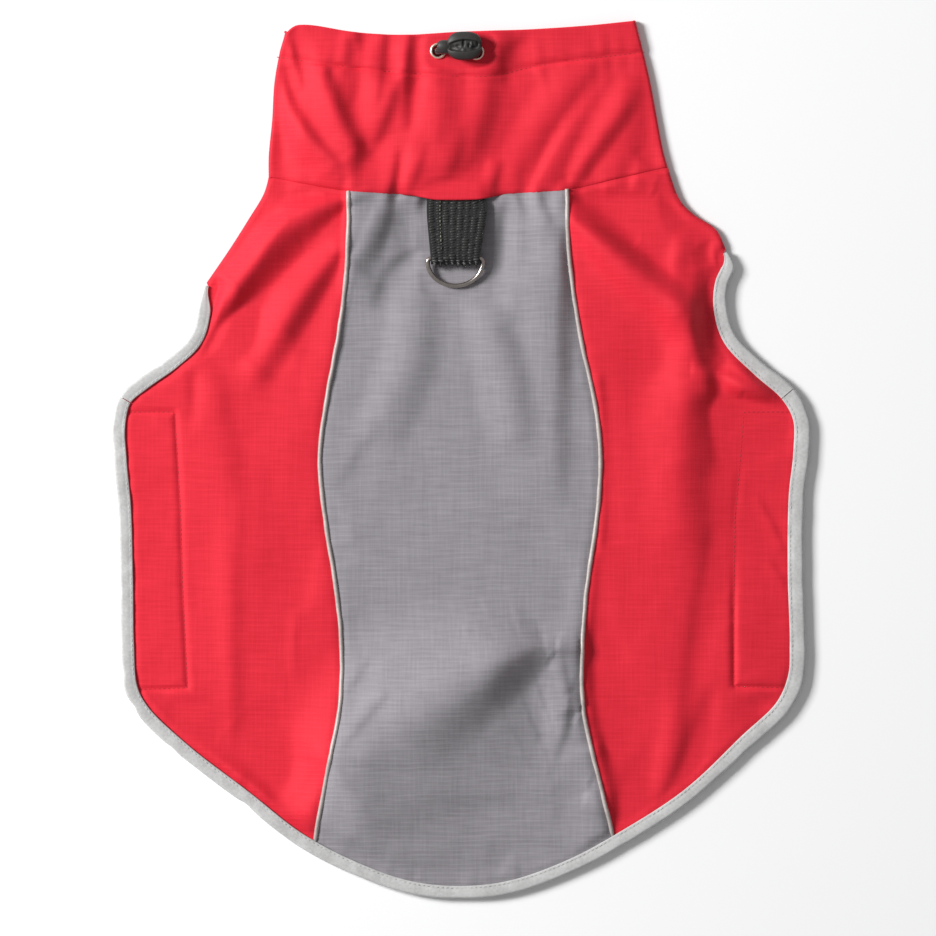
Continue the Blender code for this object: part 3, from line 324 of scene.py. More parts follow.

# %% [markdown]
# ## Creases
# Each row is one crease: three points of its line, its half width at them, and how
# steeply the cloth steps down across it. A positive step faces away from the light and
# reads dark, a negative one faces it and reads bright. Far beside each step the cloth
# slowly comes back to its level, so a dark and a bright row together make a ridge. Broad
# folds have a table of their own, with a crest line, a width on each side and a height.
# The rows follow the folds that fan out from the piping and collar seams, the pull of
# the tapes, and the long diagonal fold over the tail end.

# %% Crease table: x, y at start, middle and end, three half widths, three steps
CREASES = [
    # left side panel
    (-85.6, 66.8, -93.6, 58.4, -100.8, 49.6, 3.5, 4.5, 3.5, 0.35, 0.8, 0.6),
    (-94.8, 34.8, -92.4, 13.6, -89.2, -8.4, 4.8, 4, 3.2, 0.14, 0.18, 0.16),
    (-108.4, 31.6, -108.4, 25.2, -108.4, 18.8, 1.6, 1.6, 1.6, 0.2, 0.25, 0.2),
    (-104.8, 31.6, -105.2, 24.4, -105.6, 15.6, 1.6, 2, 2, -0.2, -0.2, -0.12),
    (-97.2, -16.4, -95.6, -64.4, -93.2, -110.4, 3.2, 3.2, 2.8, -0.05, -0.12, -0.13),
    (-87.2, -18.4, -89.6, -64.4, -89.2, -111.6, 2, 2.4, 2.4, 0.07, 0.19, 0.19),
    (-79.6, -8.4, -79.6, -40.4, -81.2, -72.4, 3.2, 4, 4, 0.06, 0.06, 0.05),
    (-67.6, -62.4, -68.4, -72.4, -68.8, -82.4, 1.2, 1.2, 1.2, -0.1, -0.12, -0.08),
    (-65.2, -64.4, -65.6, -74.4, -66, -85.2, 1.2, 1.2, 1.2, 0.07, 0.09, 0.06),
    (-58, -40.4, -59.6, -50, -62, -58.8, 2.8, 3.2, 2.4, -0.12, -0.18, -0.12),
    (-99.6, -115.6, -86, -126.8, -70.8, -138.8, 3.6, 5.2, 4, 0.28, 0.5, 0.36),
    (-79.6, -113.2, -78, -123.6, -74.8, -136.4, 3.6, 3.6, 2.8, 0.12, 0.2, 0.16),
    (-57.2, -136.4, -58.8, -144.4, -59.6, -151.6, 2.4, 2.4, 1.6, 0.2, 0.3, 0.3),
    (-127.6, -92.4, -122, -98, -116, -104, 0.8, 1, 1.2, 0.34, 0.34, 0.16),
    (-123.6, -92.8, -118.8, -96.4, -113.2, -101.2, 0.8, 0.8, 1.2, 0.24, 0.26, 0.12),
    (-114, -96.4, -110, -96.8, -105.6, -97.2, 1.6, 1.6, 1.6, 0.22, 0.26, 0.16),
    (-64.4, 107.6, -54.4, 106.4, -48.4, 105.2, 1.2, 1.6, 1.6, 0.16, 0.22, 0.22),
    (-79.6, 98.8, -70.4, 99.2, -62.4, 98, 1.2, 1.2, 1.2, 0.2, 0.24, 0.14),
    (-55.6, 109.2, -52.4, 103.6, -49.2, 101.2, 2, 2, 2, 0.1, 0.16, 0.14),
    # right side panel
    (44.8, 103.6, 64.4, 85.2, 86, 66.8, 3.2, 4.8, 6.8, 0.6, 0.48, 0.3),
    (45.2, 90.8, 62.8, 70.8, 82.8, 50, 3.2, 5.6, 6.4, -0.22, -0.3, -0.22),
    (102, 74.8, 97.6, 60.4, 100.8, 42.8, 1.6, 2.4, 2, 0.5, 0.66, 0.6),
    (92.8, 53.2, 95.6, 43.6, 100.8, 30, 1.2, 2, 2.4, 0.4, 0.56, 0.56),
    (100.8, 30, 101.6, 15.6, 101.2, 1.2, 2.4, 2.4, 2.8, 0.56, 0.5, 0.3),
    (103.2, 38, 105.6, 40.4, 108.4, 42.8, 1.2, 1.2, 1.2, 0.3, 0.34, 0.24),
    (105.2, 36.4, 104.4, 21.6, 104.4, 6.8, 2.4, 2.8, 2.8, -0.18, -0.2, -0.13),
    (81.2, 51.6, 82.8, 19.6, 84.4, -16.4, 4.8, 6, 5.6, -0.07, -0.12, -0.08),
    (70, 49.2, 70, 19.6, 71.6, -8.4, 4.8, 5.6, 4.8, 0.1, 0.12, 0.08),
    (94.4, 25.2, 95.2, 1.2, 97.2, -24.4, 4.8, 5.6, 5.6, 0.16, 0.2, 0.16),
    (98.8, -32.4, 94.8, -56.4, 89.2, -93.2, 2.8, 3.2, 2.4, 0.2, 0.26, 0.2),
    (104.4, -52.4, 98.8, -72.4, 95.6, -92.4, 3.6, 4.8, 4.8, -0.11, -0.14, -0.1),
    (102, -96.4, 98.8, -111.6, 94, -126.8, 2, 2.2, 2, -0.17, -0.26, -0.24),
    (97.2, -97.2, 92.8, -114.4, 89.6, -128.4, 2.4, 2.8, 2, 0.18, 0.22, 0.18),
    (80.4, -88.4, 80.4, -110.8, 74, -133.2, 3.2, 3.2, 2.8, -0.08, -0.16, -0.13),
    (89.2, -102.8, 87.6, -118.8, 81.2, -134.8, 2.4, 2.4, 2, 0.18, 0.34, 0.36),
    (74, -114, 66, -132.4, 60.4, -143.6, 3.6, 4.4, 3.2, 0.14, 0.3, 0.3),
    (54, -40.4, 52.4, -60.4, 50.4, -76.4, 1.2, 1.6, 2.4, 0.24, 0.4, 0.56),
    (50.4, -76.4, 52.4, -96.4, 55.6, -114.4, 2.8, 3.2, 2.8, 0.56, 0.59, 0.48),
    (57.2, -116.4, 59.6, -132.4, 62, -148.4, 2, 2.4, 2.4, 0.4, 0.48, 0.45),
    (56.4, 31.6, 57.6, 3.6, 57.2, -32.4, 1, 1.2, 1.2, 0.26, 0.3, 0.26),
    (120, -16.4, 125.2, -26, 129.2, -34.8, 0.7, 0.8, 0.8, 0.24, 0.34, 0.26),
    (124.8, -42, 127.2, -45.2, 130, -48.8, 0.7, 0.8, 0.8, 0.2, 0.28, 0.22),
    (50, 106.8, 67.6, 105.2, 88.4, 102.4, 1.6, 2.4, 2, 0.3, 0.42, 0.34),
    (91.6, 101.6, 100.4, 93.6, 105.2, 84.4, 2, 2.8, 2.4, 0.1, 0.16, 0.2),
    (84.8, 87.6, 84, 81.6, 84.4, 74.8, 1.6, 2, 1.6, -0.16, -0.24, -0.16),
    (92.4, 89.2, 90, 82, 87.6, 73.2, 2.4, 2.8, 2.4, 0.14, 0.18, 0.12),
    (104.8, 24.8, 117.2, 24.2, 129.6, 22.8, 3.2, 3.8, 3, 0.5, 0.75, 0.6),
    (63.6, 105.2, 71.6, 99.6, 82.8, 96.4, 2, 2.4, 2.4, -0.08, -0.14, -0.1),
    (114.8, -96.4, 120.4, -94.8, 127.6, -94, 2, 2.4, 2, 0.12, 0.22, 0.24),
    # grey back panel
    (-27.6, 104, -30, 91.6, -38, 78, 2, 2.4, 3.6, 0.36, 0.42, 0.3),
    (-33.6, 101.2, -37.6, 93.2, -41.6, 84.4, 1.4, 1.6, 1.6, -0.22, -0.26, -0.2),
    (-25.6, 103.6, -26.8, 94.8, -28.8, 86.8, 1, 1.2, 1.2, -0.2, -0.2, -0.12),
    (-43.6, 78.8, -38.8, 74.8, -34, 71.6, 2.4, 2.4, 2, 0.2, 0.28, 0.2),
    (-14.8, 83.6, -26, 78.8, -34, 65.2, 1.6, 2, 2.4, 0.34, 0.4, 0.24),
    (-34, 11.6, -42, 0.4, -48.4, -10.8, 2, 2, 2, 0.12, 0.14, 0.08),
    (21.2, 61.2, 23.2, 39.6, 26, 15.6, 3.2, 3.6, 3.6, 0.1, 0.12, 0.08),
    (40.4, 83.6, 42.8, 78.8, 44.4, 71.6, 2, 2, 2, 0.1, 0.14, 0.12),
    (18, 104.4, 15.6, 93.2, 14, 80.4, 1.6, 2.2, 2.8, 0.4, 0.44, 0.24),
    (21.2, 102.8, 18.8, 87.6, 16.4, 67.6, 2.4, 3.6, 4.4, -0.16, -0.16, -0.11),
    (22.4, 105.6, 23.2, 103.2, 24.8, 100, 1, 1.1, 1.2, 0.46, 0.46, 0.2),
    (32, 105.6, 33.6, 100.4, 36.8, 93.2, 1, 1.2, 1.6, 0.42, 0.42, 0.16),
    (28.4, 104.8, 30, 98.8, 31.6, 92.4, 1.2, 1.6, 2, -0.16, -0.16, -0.08),
    (47.6, -77.2, 40.4, -76.8, 35.6, -74.8, 1, 1.2, 1.2, 0.24, 0.26, 0.26),
    (35.6, -74.8, 27.6, -78, 18.8, -83.6, 1.2, 2.4, 4.4, 0.35, 0.35, 0.29),
    (18.8, -85.2, -3.6, -102.8, -31.6, -119.6, 5.2, 7.2, 5.2, 0.14, 0.13, 0.13),
    (38, -82, 42, -100.4, 44.4, -124.4, 2.8, 4, 4.8, 0.07, 0.1, 0.09),
    (-30.4, -95.2, -38, -104.4, -46, -114, 1, 1.2, 1.2, 0.22, 0.25, 0.17),
    (-38, -82, -41.2, -87.6, -44.8, -92.8, 1, 1.2, 1.2, 0.21, 0.25, 0.2),
    (-34, -92.4, -41.2, -99.6, -46.4, -105.2, 1.2, 1.6, 1.6, -0.09, -0.11, -0.08),
    (39.6, -130.8, 46.8, -131.2, 55.2, -134, 1, 1.2, 1.2, 0.12, 0.2, 0.2),
    (40.8, -140, 48.4, -141.2, 56.8, -142.4, 1, 1.2, 1.2, 0.11, 0.19, 0.19),
    (38.8, -135.2, 46, -136, 54.8, -138, 1.2, 1.6, 1.6, -0.05, -0.08, -0.07),
    (39.6, -102.8, 44.4, -100.8, 48, -101.6, 1, 1.2, 1, 0.2, 0.32, 0.26),
    (40.4, -111.6, 45.2, -112.4, 50, -112.8, 1.2, 1.2, 1.2, 0.12, 0.22, 0.22),
    (41.2, -92.4, 45.2, -94, 47.6, -96.4, 1, 1.2, 1.2, 0.1, 0.22, 0.22),
    (39.6, -122.4, 45.6, -123.6, 52.4, -125.2, 1.2, 1.6, 1.6, 0.1, 0.2, 0.2),
    (-16.4, -137.2, 15.6, -136.8, 39.6, -138, 2.4, 2.8, 2.4, 0.1, 0.16, 0.14),
    (15.6, -151.6, 32.4, -153.2, 48.4, -156.4, 2, 2.4, 2, 0.1, 0.16, 0.16),
    (-8.4, -125.2, 15.6, -126, 34, -128.4, 2.8, 3.2, 2.8, -0.06, -0.1, -0.06),
    (-48.4, -144.4, -34, -146.8, -20.4, -146.8, 2, 2.4, 2, 0.08, 0.12, 0.08),
    (19.2, -159.6, 17.2, -163.6, 15.6, -167.6, 1.2, 1.2, 1.2, -0.16, -0.2, -0.14),
    (-48.4, -34.8, -43.6, -34.4, -39.6, -34.4, 1.6, 1.6, 1.6, 0.14, 0.14, 0.08),
    (-46.8, -64.4, -42.8, -64, -39.6, -63.6, 1.2, 1.2, 1.2, 0.12, 0.14, 0.08),
    (-50, -16.4, -46.8, -28.4, -46, -40.4, 1.6, 2.4, 2, -0.1, -0.12, -0.08),
    (33.6, -24.4, 40.4, -35.6, 45.2, -51.6, 2.8, 3.2, 2.8, -0.06, -0.1, -0.08),
    # collar
    (-69.2, 170, -66, 160.4, -63.6, 150, 1, 1.2, 1, 0.77, 0.81, 0.49),
    (-71.2, 154.8, -64.4, 137.2, -50, 119.6, 1.4, 1.9, 1.4, 0.7, 0.88, 0.53),
    (-72.8, 145.2, -67.6, 129.2, -55.6, 113.2, 2.4, 3.1, 2.7, -0.28, -0.39, -0.22),
    (-52.8, 154, -46.8, 138.8, -40.4, 125.2, 1.7, 2.7, 2.4, 0.66, 0.74, 0.61),
    (-40.4, 125.2, -41.2, 118.8, -42.8, 110, 2, 2.4, 1.7, 0.46, 0.39, 0.18),
    (-59.6, 157.2, -55.6, 145.2, -49.2, 133.2, 2, 2.7, 2, -0.16, -0.19, -0.12),
    (-44.4, 166, -43.6, 154.8, -43.6, 144.4, 1.4, 1.5, 1.4, 0.31, 0.39, 0.24),
    (-41.2, 171.2, -40.8, 168.4, -40.4, 165.2, 1, 1.2, 1, 0.53, 0.53, 0.28),
    (-30, 168.4, -31.2, 154.8, -32.8, 143.6, 1, 1.2, 1, 0.42, 0.47, 0.27),
    (-25.2, 150, -29.2, 136.4, -35.6, 122.8, 1.4, 2, 1.4, 0.42, 0.57, 0.31),
    (-38, 162.8, -38.8, 150, -38, 135.6, 1.4, 1.7, 2, -0.14, -0.16, -0.12),
    (-19.6, 169.2, -20.8, 152.4, -21.2, 134.8, 1.2, 1.7, 1.4, 0.65, 0.72, 0.45),
    (-14.8, 161.2, -15.6, 147.6, -18.8, 132.4, 1.7, 2.4, 2, -0.22, -0.28, -0.19),
    (-26, 162.8, -26, 155.6, -26.8, 150, 1.4, 1.4, 1.4, -0.35, -0.39, -0.24),
    (-25.2, 121.2, -26, 114, -28, 105.2, 1, 1, 1, 0.35, 0.63, 0.59),
    (-21.2, 123.6, -22.8, 114.8, -24.4, 106, 1.4, 1.4, 1.4, -0.24, -0.39, -0.31),
    (-14, 125.2, -16.4, 116.4, -20, 106, 1, 1.2, 1, 0.23, 0.39, 0.35),
    (0.4, 130, -2, 118.8, -8, 105.6, 1.7, 2, 1.7, 0.24, 0.42, 0.39),
    (6.8, 118.8, 2, 111.6, -4.4, 105.2, 1.7, 1.7, 1.4, -0.19, -0.3, -0.27),
    (15.6, 117.2, 13.6, 110.8, 11.6, 104.8, 1, 1, 1, 0.28, 0.46, 0.46),
    (10.8, 118, 9.2, 111.6, 8.4, 105.2, 1, 1.4, 1, -0.24, -0.35, -0.28),
    (74, 143.6, 71.6, 127.6, 67.6, 117.2, 3.2, 3.6, 3.2, 0.14, 0.19, 0.16),
    (70, 118.8, 69.2, 114, 68, 109.2, 1, 1.2, 1, -0.27, -0.35, -0.27),
    (71.6, 120.4, 76.4, 117.2, 80.4, 114.8, 1.2, 1.2, 1.2, 0.22, 0.27, 0.22),
    (23.6, 167.6, 18, 162.8, 15.6, 157.2, 1.7, 2.7, 2.7, 0.28, 0.35, 0.22),
    (-16.4, 169.2, -8.4, 170.4, 0.4, 170.8, 1, 1, 1, 0.35, 0.53, 0.53),
    (2, 155.6, 3.6, 150, 5.2, 143.6, 2, 2.4, 2.7, -0.14, -0.18, -0.11),
]
print(len(CREASES), "creases")

# %% Fold table: x, y of the crest at start, middle and end, widths to each side, heights
# The first three widths lie towards the light, the next three away from it.
FOLDS = [
    # left shoulder
    (-46.8, 103.4, -76, 89.4, -105.6, 61, 3.5, 13, 13, 4, 15, 17, 1.6, 6.3, 5),
    (-50.4, 82.4, -66.8, 61.6, -81, 38.4, 7, 13, 14, 5, 10, 10, 1.6, 4.2, 2.6),
    (-45.6, 66, -50, 46, -54.4, 26, 8, 12, 12, 2.5, 3, 3, 0.6, 1, 0.6),
    # right shoulder and armhole
    (46.4, 93.6, 64.8, 78.8, 86, 60.8, 5, 12, 12, 4.5, 9, 9, 1.2, 3.4, 2.6),
    (90.4, 84.4, 87.2, 64.4, 90.4, 48, 12, 14, 12, 13, 13, 11, 1, 1.8, 1.2),
    (87.6, 38, 85, 13.6, 86.4, -26, 14, 20, 18, 14, 16, 15, 1.3, 2.3, 1.1),
    (101.6, 33.6, 113.6, 29.6, 129.6, 23.6, 5, 6, 5, 5, 7, 4, 1.8, 3.4, 2.4),
    # collar
    (-64, 157, -65.6, 136, -66.4, 116, 11, 12, 12, 48, 48, 46, 2.4, 3.4, 2.4),
    (-13.6, 148, -17.5, 132, -21.4, 111.6, 58, 60, 54, 42, 48, 42, 3.2, 5.4, 3.8),
    (11.6, 158, 6.4, 134.8, -2.4, 109.6, 12, 13, 10, 8, 9, 8, 0.8, 1.7, 1),
    (49.6, 156, 35.6, 138.8, 18, 111.6, 12, 12, 9, 8, 10, 8, 0.8, 1.7, 0.9),
    (31.6, 110.8, 40.4, 126.4, 49.6, 140, 4, 6, 6, 7, 10, 9, 0.9, 1.8, 0.9),
    (44.4, 110.8, 57.6, 131.6, 71.6, 149.6, 5, 9, 10, 5, 7, 7, 1.1, 2.2, 1.4),
    (-4.4, 149.6, -8.4, 131.6, -14.4, 111.6, 7, 8, 7, 7, 9, 8, 0.5, 0.9, 0.5),
    # grey back panel
    (33.6, -75.2, -1, -90, -49.6, -121.6, 13, 40, 34, 26, 54, 42, 2, 7.2, 5.2),
    (34, -76, 12, -87.2, -18, -107, 7, 20, 24, 7, 15, 22, 1.5, 3.2, 1.4),
    (-49, -122, -51, -141, -53, -160, 34, 34, 34, 64, 84, 64, 2.8, 5.2, 3.4),
    (40.4, -86.4, 41.2, -101.2, 38, -114.4, 7, 10, 8, 3, 4.5, 4, 0.6, 1.5, 0.6),
    (-44.4, 104.4, -44.8, 92, -46, 76, 3, 3, 3, 16, 25, 25, 2.2, 3.4, 1.6),
    (-18, 72, -20, 44, -31, 14, 12, 15, 14, 12, 15, 14, 0.8, 2.3, 1.6),
    (7, 62, 15.5, 40, 21, 12, 10, 14, 14, 9, 12, 12, 0.8, 2, 1.4),
    (38, 84.4, 37.2, 47.6, 35.6, -8.4, 12, 24, 24, 6, 9, 10, 1.4, 2.6, 1),
]
print(len(FOLDS), "broad folds")

# %% Where points lie beside a crease
AWAY_FROM_LIGHT = np.array((0.94, -0.34))
CREASE_PARTS = 8


def through(t, low, middle, high):
    """Values on the parabola through three values, for t from 0 to 1."""
    return low * (1 - t) * (1 - 2 * t) + middle * 4 * t * (1 - t) + high * t * (2 * t - 1)


def beside(points, row, reach):
    """Which points lie near a crease, their distance across it away from the light, their
    distance past its ends, and how far along it they lie."""
    shares = np.linspace(0.0, 1.0, CREASE_PARTS + 1)[:, None]
    path = through(shares, *np.array(row[:6]).reshape(3, 2))
    near = np.all((points > path.min(axis=0) - reach) & (points < path.max(axis=0) + reach),
                  axis=1)
    spots = points[near]
    start, along = path[:-1], np.diff(path, axis=0)
    offset = spots[:, None, :] - start[None, :, :]
    t = np.clip((offset * along).sum(axis=2) / (along * along).sum(axis=1), 0.0, 1.0)
    away = offset - t[..., None] * along
    nearest = np.argmin((away * away).sum(axis=2), axis=1)
    pick = np.arange(len(spots))
    away, share = away[pick, nearest], (nearest + t[pick, nearest]) / len(along)
    direction = unit(along[nearest])
    across = left_of(direction)
    across *= np.sign(across @ AWAY_FROM_LIGHT)[:, None]
    return near, (away * across).sum(axis=1), (away * direction).sum(axis=1), share


print("near the first crease:", beside(SEAM_LEFT, CREASES[0], 40.0)[0].sum(), "seam points")

# %% Heights of the creases and folds
# How far a crease reaches, how sharply it bends and how it fades past its ends, as
# shares of its half width
CREASE_REACH, CREASE_BEND, CREASE_FADE = 8.0, 0.8, 2.2
# How far a fold reaches, as a share of its width, and how it fades past its ends in mm
FOLD_REACH, FOLD_FADE = 1.3, 9.0


def crease_height(points):
    """Height that all the creases add at each point."""
    total = np.zeros(len(points))
    for row in CREASES:
        near, side, beyond, share = beside(points, row, CREASE_REACH * max(row[6:9]))
        width, step = through(share, *row[6:9]), through(share, *row[9:12])
        settle = np.clip(1.0 - (side / (CREASE_REACH * width)) ** 2, 0.0, 1.0) ** 2
        fade = np.exp(-(beyond / (CREASE_FADE * width)) ** 2)
        drop = step * width / CREASE_BEND * np.tanh(CREASE_BEND * side / width)
        total[near] -= drop * settle * fade
    return total


def fold_height(points):
    """Height of the broad folds at each point."""
    total = np.zeros(len(points))
    for row in FOLDS:
        near, side, beyond, share = beside(points, row, FOLD_REACH * max(row[6:12]))
        lit, shaded = through(share, *row[6:9]), through(share, *row[9:12])
        far = np.clip(np.where(side < 0.0, -side / lit, side / shaded), 0.0, 1.0)
        fade = np.exp(-(beyond / FOLD_FADE) ** 2)
        total[near] += through(share, *row[12:15]) * 0.5 * (1.0 + np.cos(np.pi * far)) * fade
    return total


print("creases move the left seam by", np.ptp(crease_height(SEAM_LEFT)).round(1), "mm")

# %% [markdown]
# ## Sewing pulls and small ripples
# A stitch line draws thin cloth down and gathers it a little, so short ripples run
# across it and die out in a few millimetres. They come from smooth noise on a fixed
# grid of random numbers, which gives the same ripples each time the file runs.

# %% Smooth noise
NOISE_GRID = np.random.default_rng(11).uniform(-1.0, 1.0, (64, 64))


def noise(u, v):
    """Smooth noise between -1 and 1 over a plane, repeating every 64 units."""
    iu, iv = np.floor(u).astype(int), np.floor(v).astype(int)
    fu, fv = u - iu, v - iv
    fu, fv = fu * fu * (3 - 2 * fu), fv * fv * (3 - 2 * fv)
    a, b = NOISE_GRID[iu % 64, iv % 64], NOISE_GRID[(iu + 1) % 64, iv % 64]
    c, d = NOISE_GRID[iu % 64, (iv + 1) % 64], NOISE_GRID[(iu + 1) % 64, (iv + 1) % 64]
    return (a * (1 - fu) + b * fu) * (1 - fv) + (c * (1 - fu) + d * fu) * fv


print("noise at three spots", noise(np.array((0.5, 1.5, 2.5)), 0.5).round(2))

# %% Pulls, ripples and slack
# Sewn lines: path, depth of the pull, its width, ripple height, spacing and reach
SEWN_LINES = [
    (np.array(TAPE_LEFT), 0.85, 0.9, 0.14, 3.4, 3),
    (np.array(TAPE_RIGHT), 1.05, 1.05, 0.22, 3, 3.4),
    (CASING, 0.55, 0.8, 0.6, 3.2, 6),
    (NECK, 0.7, 0.8, 0.42, 4, 6),
    (SEAM_LEFT, 0.45, 1.6, 0.14, 4.4, 4),
    (SEAM_RIGHT, 0.65, 1.8, 0.24, 3.4, 4.5),
]
# Ripples beside a binding: height, spacing and reach
BINDING_RIPPLE = (0.3, 4.0, 5.0)
BINDING_PULL, BINDING_PULL_WIDTH = 0.6, 1.1
RIPPLE_START = 0.8


def sewing_height(points):
    """Pulls and ripples along the sewn lines, and ripples beside the bindings."""
    total = np.zeros(len(points))
    for number, (path, depth, width, ripple, spacing, reach) in enumerate(SEWN_LINES):
        at, away = along_and_away(points, path)
        total -= depth * np.exp(-(away / width) ** 2)
        wave = noise(at / spacing, 7.0 * number + 0.5 + away / 14.0)
        start = 1.0 - np.exp(-(away / RIPPLE_START) ** 2)
        total += ripple * wave * np.exp(-away / reach) * start
    ripple, spacing, reach = BINDING_RIPPLE
    at, away = along_and_away(points, EDGE[::4])
    away = np.maximum(away - BINDING_WIDTH, 0.0)
    total += ripple * noise(at / spacing, 50.0 + away / 16.0) * np.exp(-away / reach)
    return total - BINDING_PULL * np.exp(-(away / BINDING_PULL_WIDTH) ** 2)


# Faint slack: height, spacing across and along, and shift across and along
SLACK = ((0.16, 13.0, 17.0, 3.1, 0.0), (0.06, 5.0, 6.5, 0.0, 20.0))


def slack_height(points):
    """Faint uneven slack of thin coated cloth."""
    x, y = points.T
    return sum(tall * noise(x / across + right, y / along + up)
               for tall, across, along, right, up in SLACK)


print("sewing pulls the casing by", -sewing_height(CASING).min().round(2), "mm")

# %% Height of the upper cloth
# Height at which hardware holds the cloth level, and where, as middle and reach
WEB_REST_HEIGHT, WEB_SPOT = 2.6, ((-2.3, 88.0), (16.5, 24.0))
LOCK_REST_HEIGHT, LOCK_SPOT = 3.0, ((-0.5, 163.5), (15.0, 9.0))
# Just under the webbing with its ring, and under the cord lock with its eyelets
HARDWARE_SPOTS = (((-2.0, 87.5), (13.0, 20.0)), ((-1.0, 163.8), (12.5, 6.2)))
HARDWARE_GROW = 1.3
# Where the bound edge and the side folds let go of the cloth: start and end of each
PUFF_FREE = ((STRIP_WIDTH, 60.0), (SIDE_FOLD_RADIUS, 36.0))
FOLD_FREE = ((STRIP_WIDTH, 15.0), (SIDE_FOLD_RADIUS, 14.0))
CREASE_FREE = ((BINDING_WIDTH, 9.0), (0.8, 6.0))
# The collar is pressed flatter than the back, from these heights on the vest
COLLAR_FLATTER, COLLAR_FLATTER_Y = 0.8, (108.0, 126.0)
SINK_INTO_PLAY, SINK_TO_TABLE = 0.5, 1.0


def cloth_height(points):
    """Height of the upper cloth's lower face above the table, with all its creases."""
    bound = distance_to(points, EDGE[::3])
    side = np.minimum(distance_to(points, SIDE_LEFT), distance_to(points, SIDE_RIGHT))
    freedom, play, quick_play = (np.minimum(ramp(bound, *edge), ramp(side, *fold))
                                 for edge, fold in (PUFF_FREE, FOLD_FREE, CREASE_FREE))
    collar_flat = 1.0 - COLLAR_FLATTER * ramp(points[:, 1], *COLLAR_FLATTER_Y)
    height = BASE + PUFF * freedom * collar_flat
    for spot, level in ((WEB_SPOT, WEB_REST_HEIGHT), (LOCK_SPOT, LOCK_REST_HEIGHT)):
        hold = around(points, spot)
        height = height * (1.0 - hold) + level * hold
    lowest = soft_floor(points, play, freedom)
    height = soft_max(height, lowest)
    bare = 1.0 - np.maximum.reduce([around(points, spot, HARDWARE_GROW) for spot in HARDWARE_SPOTS])
    height += crease_height(points) * quick_play * bare + fold_height(points) * play * bare
    height += (sewing_height(points) + slack_height(points)) * bare
    return soft_max(height, np.maximum(lowest - SINK_INTO_PLAY, BASE - SINK_TO_TABLE),
                    blend=0.3)


two_spots = cloth_height(np.array([(0.0, 0.0), (-80.0, 40.0)]))
print("cloth height at two spots", two_spots.round(2), "mm")

# %% [markdown]
# ## Cloth finishes
# The shell is coated nylon ripstop: thin plain weave with a thicker thread every few
# millimetres both ways. The real fine threads are about 0.2 mm apart, too fine for this
# picture, so only the 2 mm ripstop grid and uneven streaks of yarn are drawn. The eye
# sees a smooth cloth with a faint grid and a soft sheen on its folds. All patterns read
# Object coordinates in millimetres, so they stay on the cloth from every side.

# %% Node helper and the cloth's coordinates
def node(tree, kind, inputs=None, **settings):
    """Add a node with its settings, and set or link its inputs."""
    added = tree.nodes.new(kind)
    for name, value in settings.items():
        setattr(added, name, value)
    for name, value in (inputs or {}).items():
        if isinstance(value, bpy.types.NodeSocket):
            tree.links.new(value, added.inputs[name])
        else:
            added.inputs[name].default_value = value
    return added


def new_finish(name, **sockets):
    """Material with its shader's own sockets set, and the tree and shader to work on."""
    material = bpy.data.materials.new(name)
    material.use_nodes = True
    shader = material.node_tree.nodes["Principled BSDF"]
    for socket, value in sockets.items():
        shader.inputs[socket.replace("_", " ")].default_value = value
    return material, material.node_tree, shader


def millimetres(tree, turn=0.0, stretch=(1.0, 1.0, 1.0)):
    """Object coordinates in millimetres, turned a little and stretched."""
    place = node(tree, "ShaderNodeTexCoord").outputs["Object"]
    return node(tree, "ShaderNodeMapping", {
        "Vector": place, "Rotation": (0.0, 0.0, math.radians(turn)),
        "Scale": tuple(1000.0 * s for s in stretch)}).outputs["Vector"]


def thread_lines(tree, coordinate, pitch, width):
    """1 on evenly spaced lines, 0 between them."""
    turns = node(tree, "ShaderNodeMath", {0: coordinate, 1: 1.0 / pitch}, operation="MULTIPLY")
    fold = node(tree, "ShaderNodeMath", {0: turns.outputs[0], 1: 0.5}, operation="PINGPONG")
    return node(tree, "ShaderNodeMapRange", {
        "Value": fold.outputs[0], "From Min": 0.0, "From Max": width / pitch,
        "To Min": 1.0, "To Max": 0.0}, interpolation_type="SMOOTHSTEP").outputs["Result"]


print("the cloth's red in linear light", [round(c, 3) for c in linear("#DE1830")])

# %% Ripstop, woven nylon with a coating
RIPSTOP_PITCH = 1.85


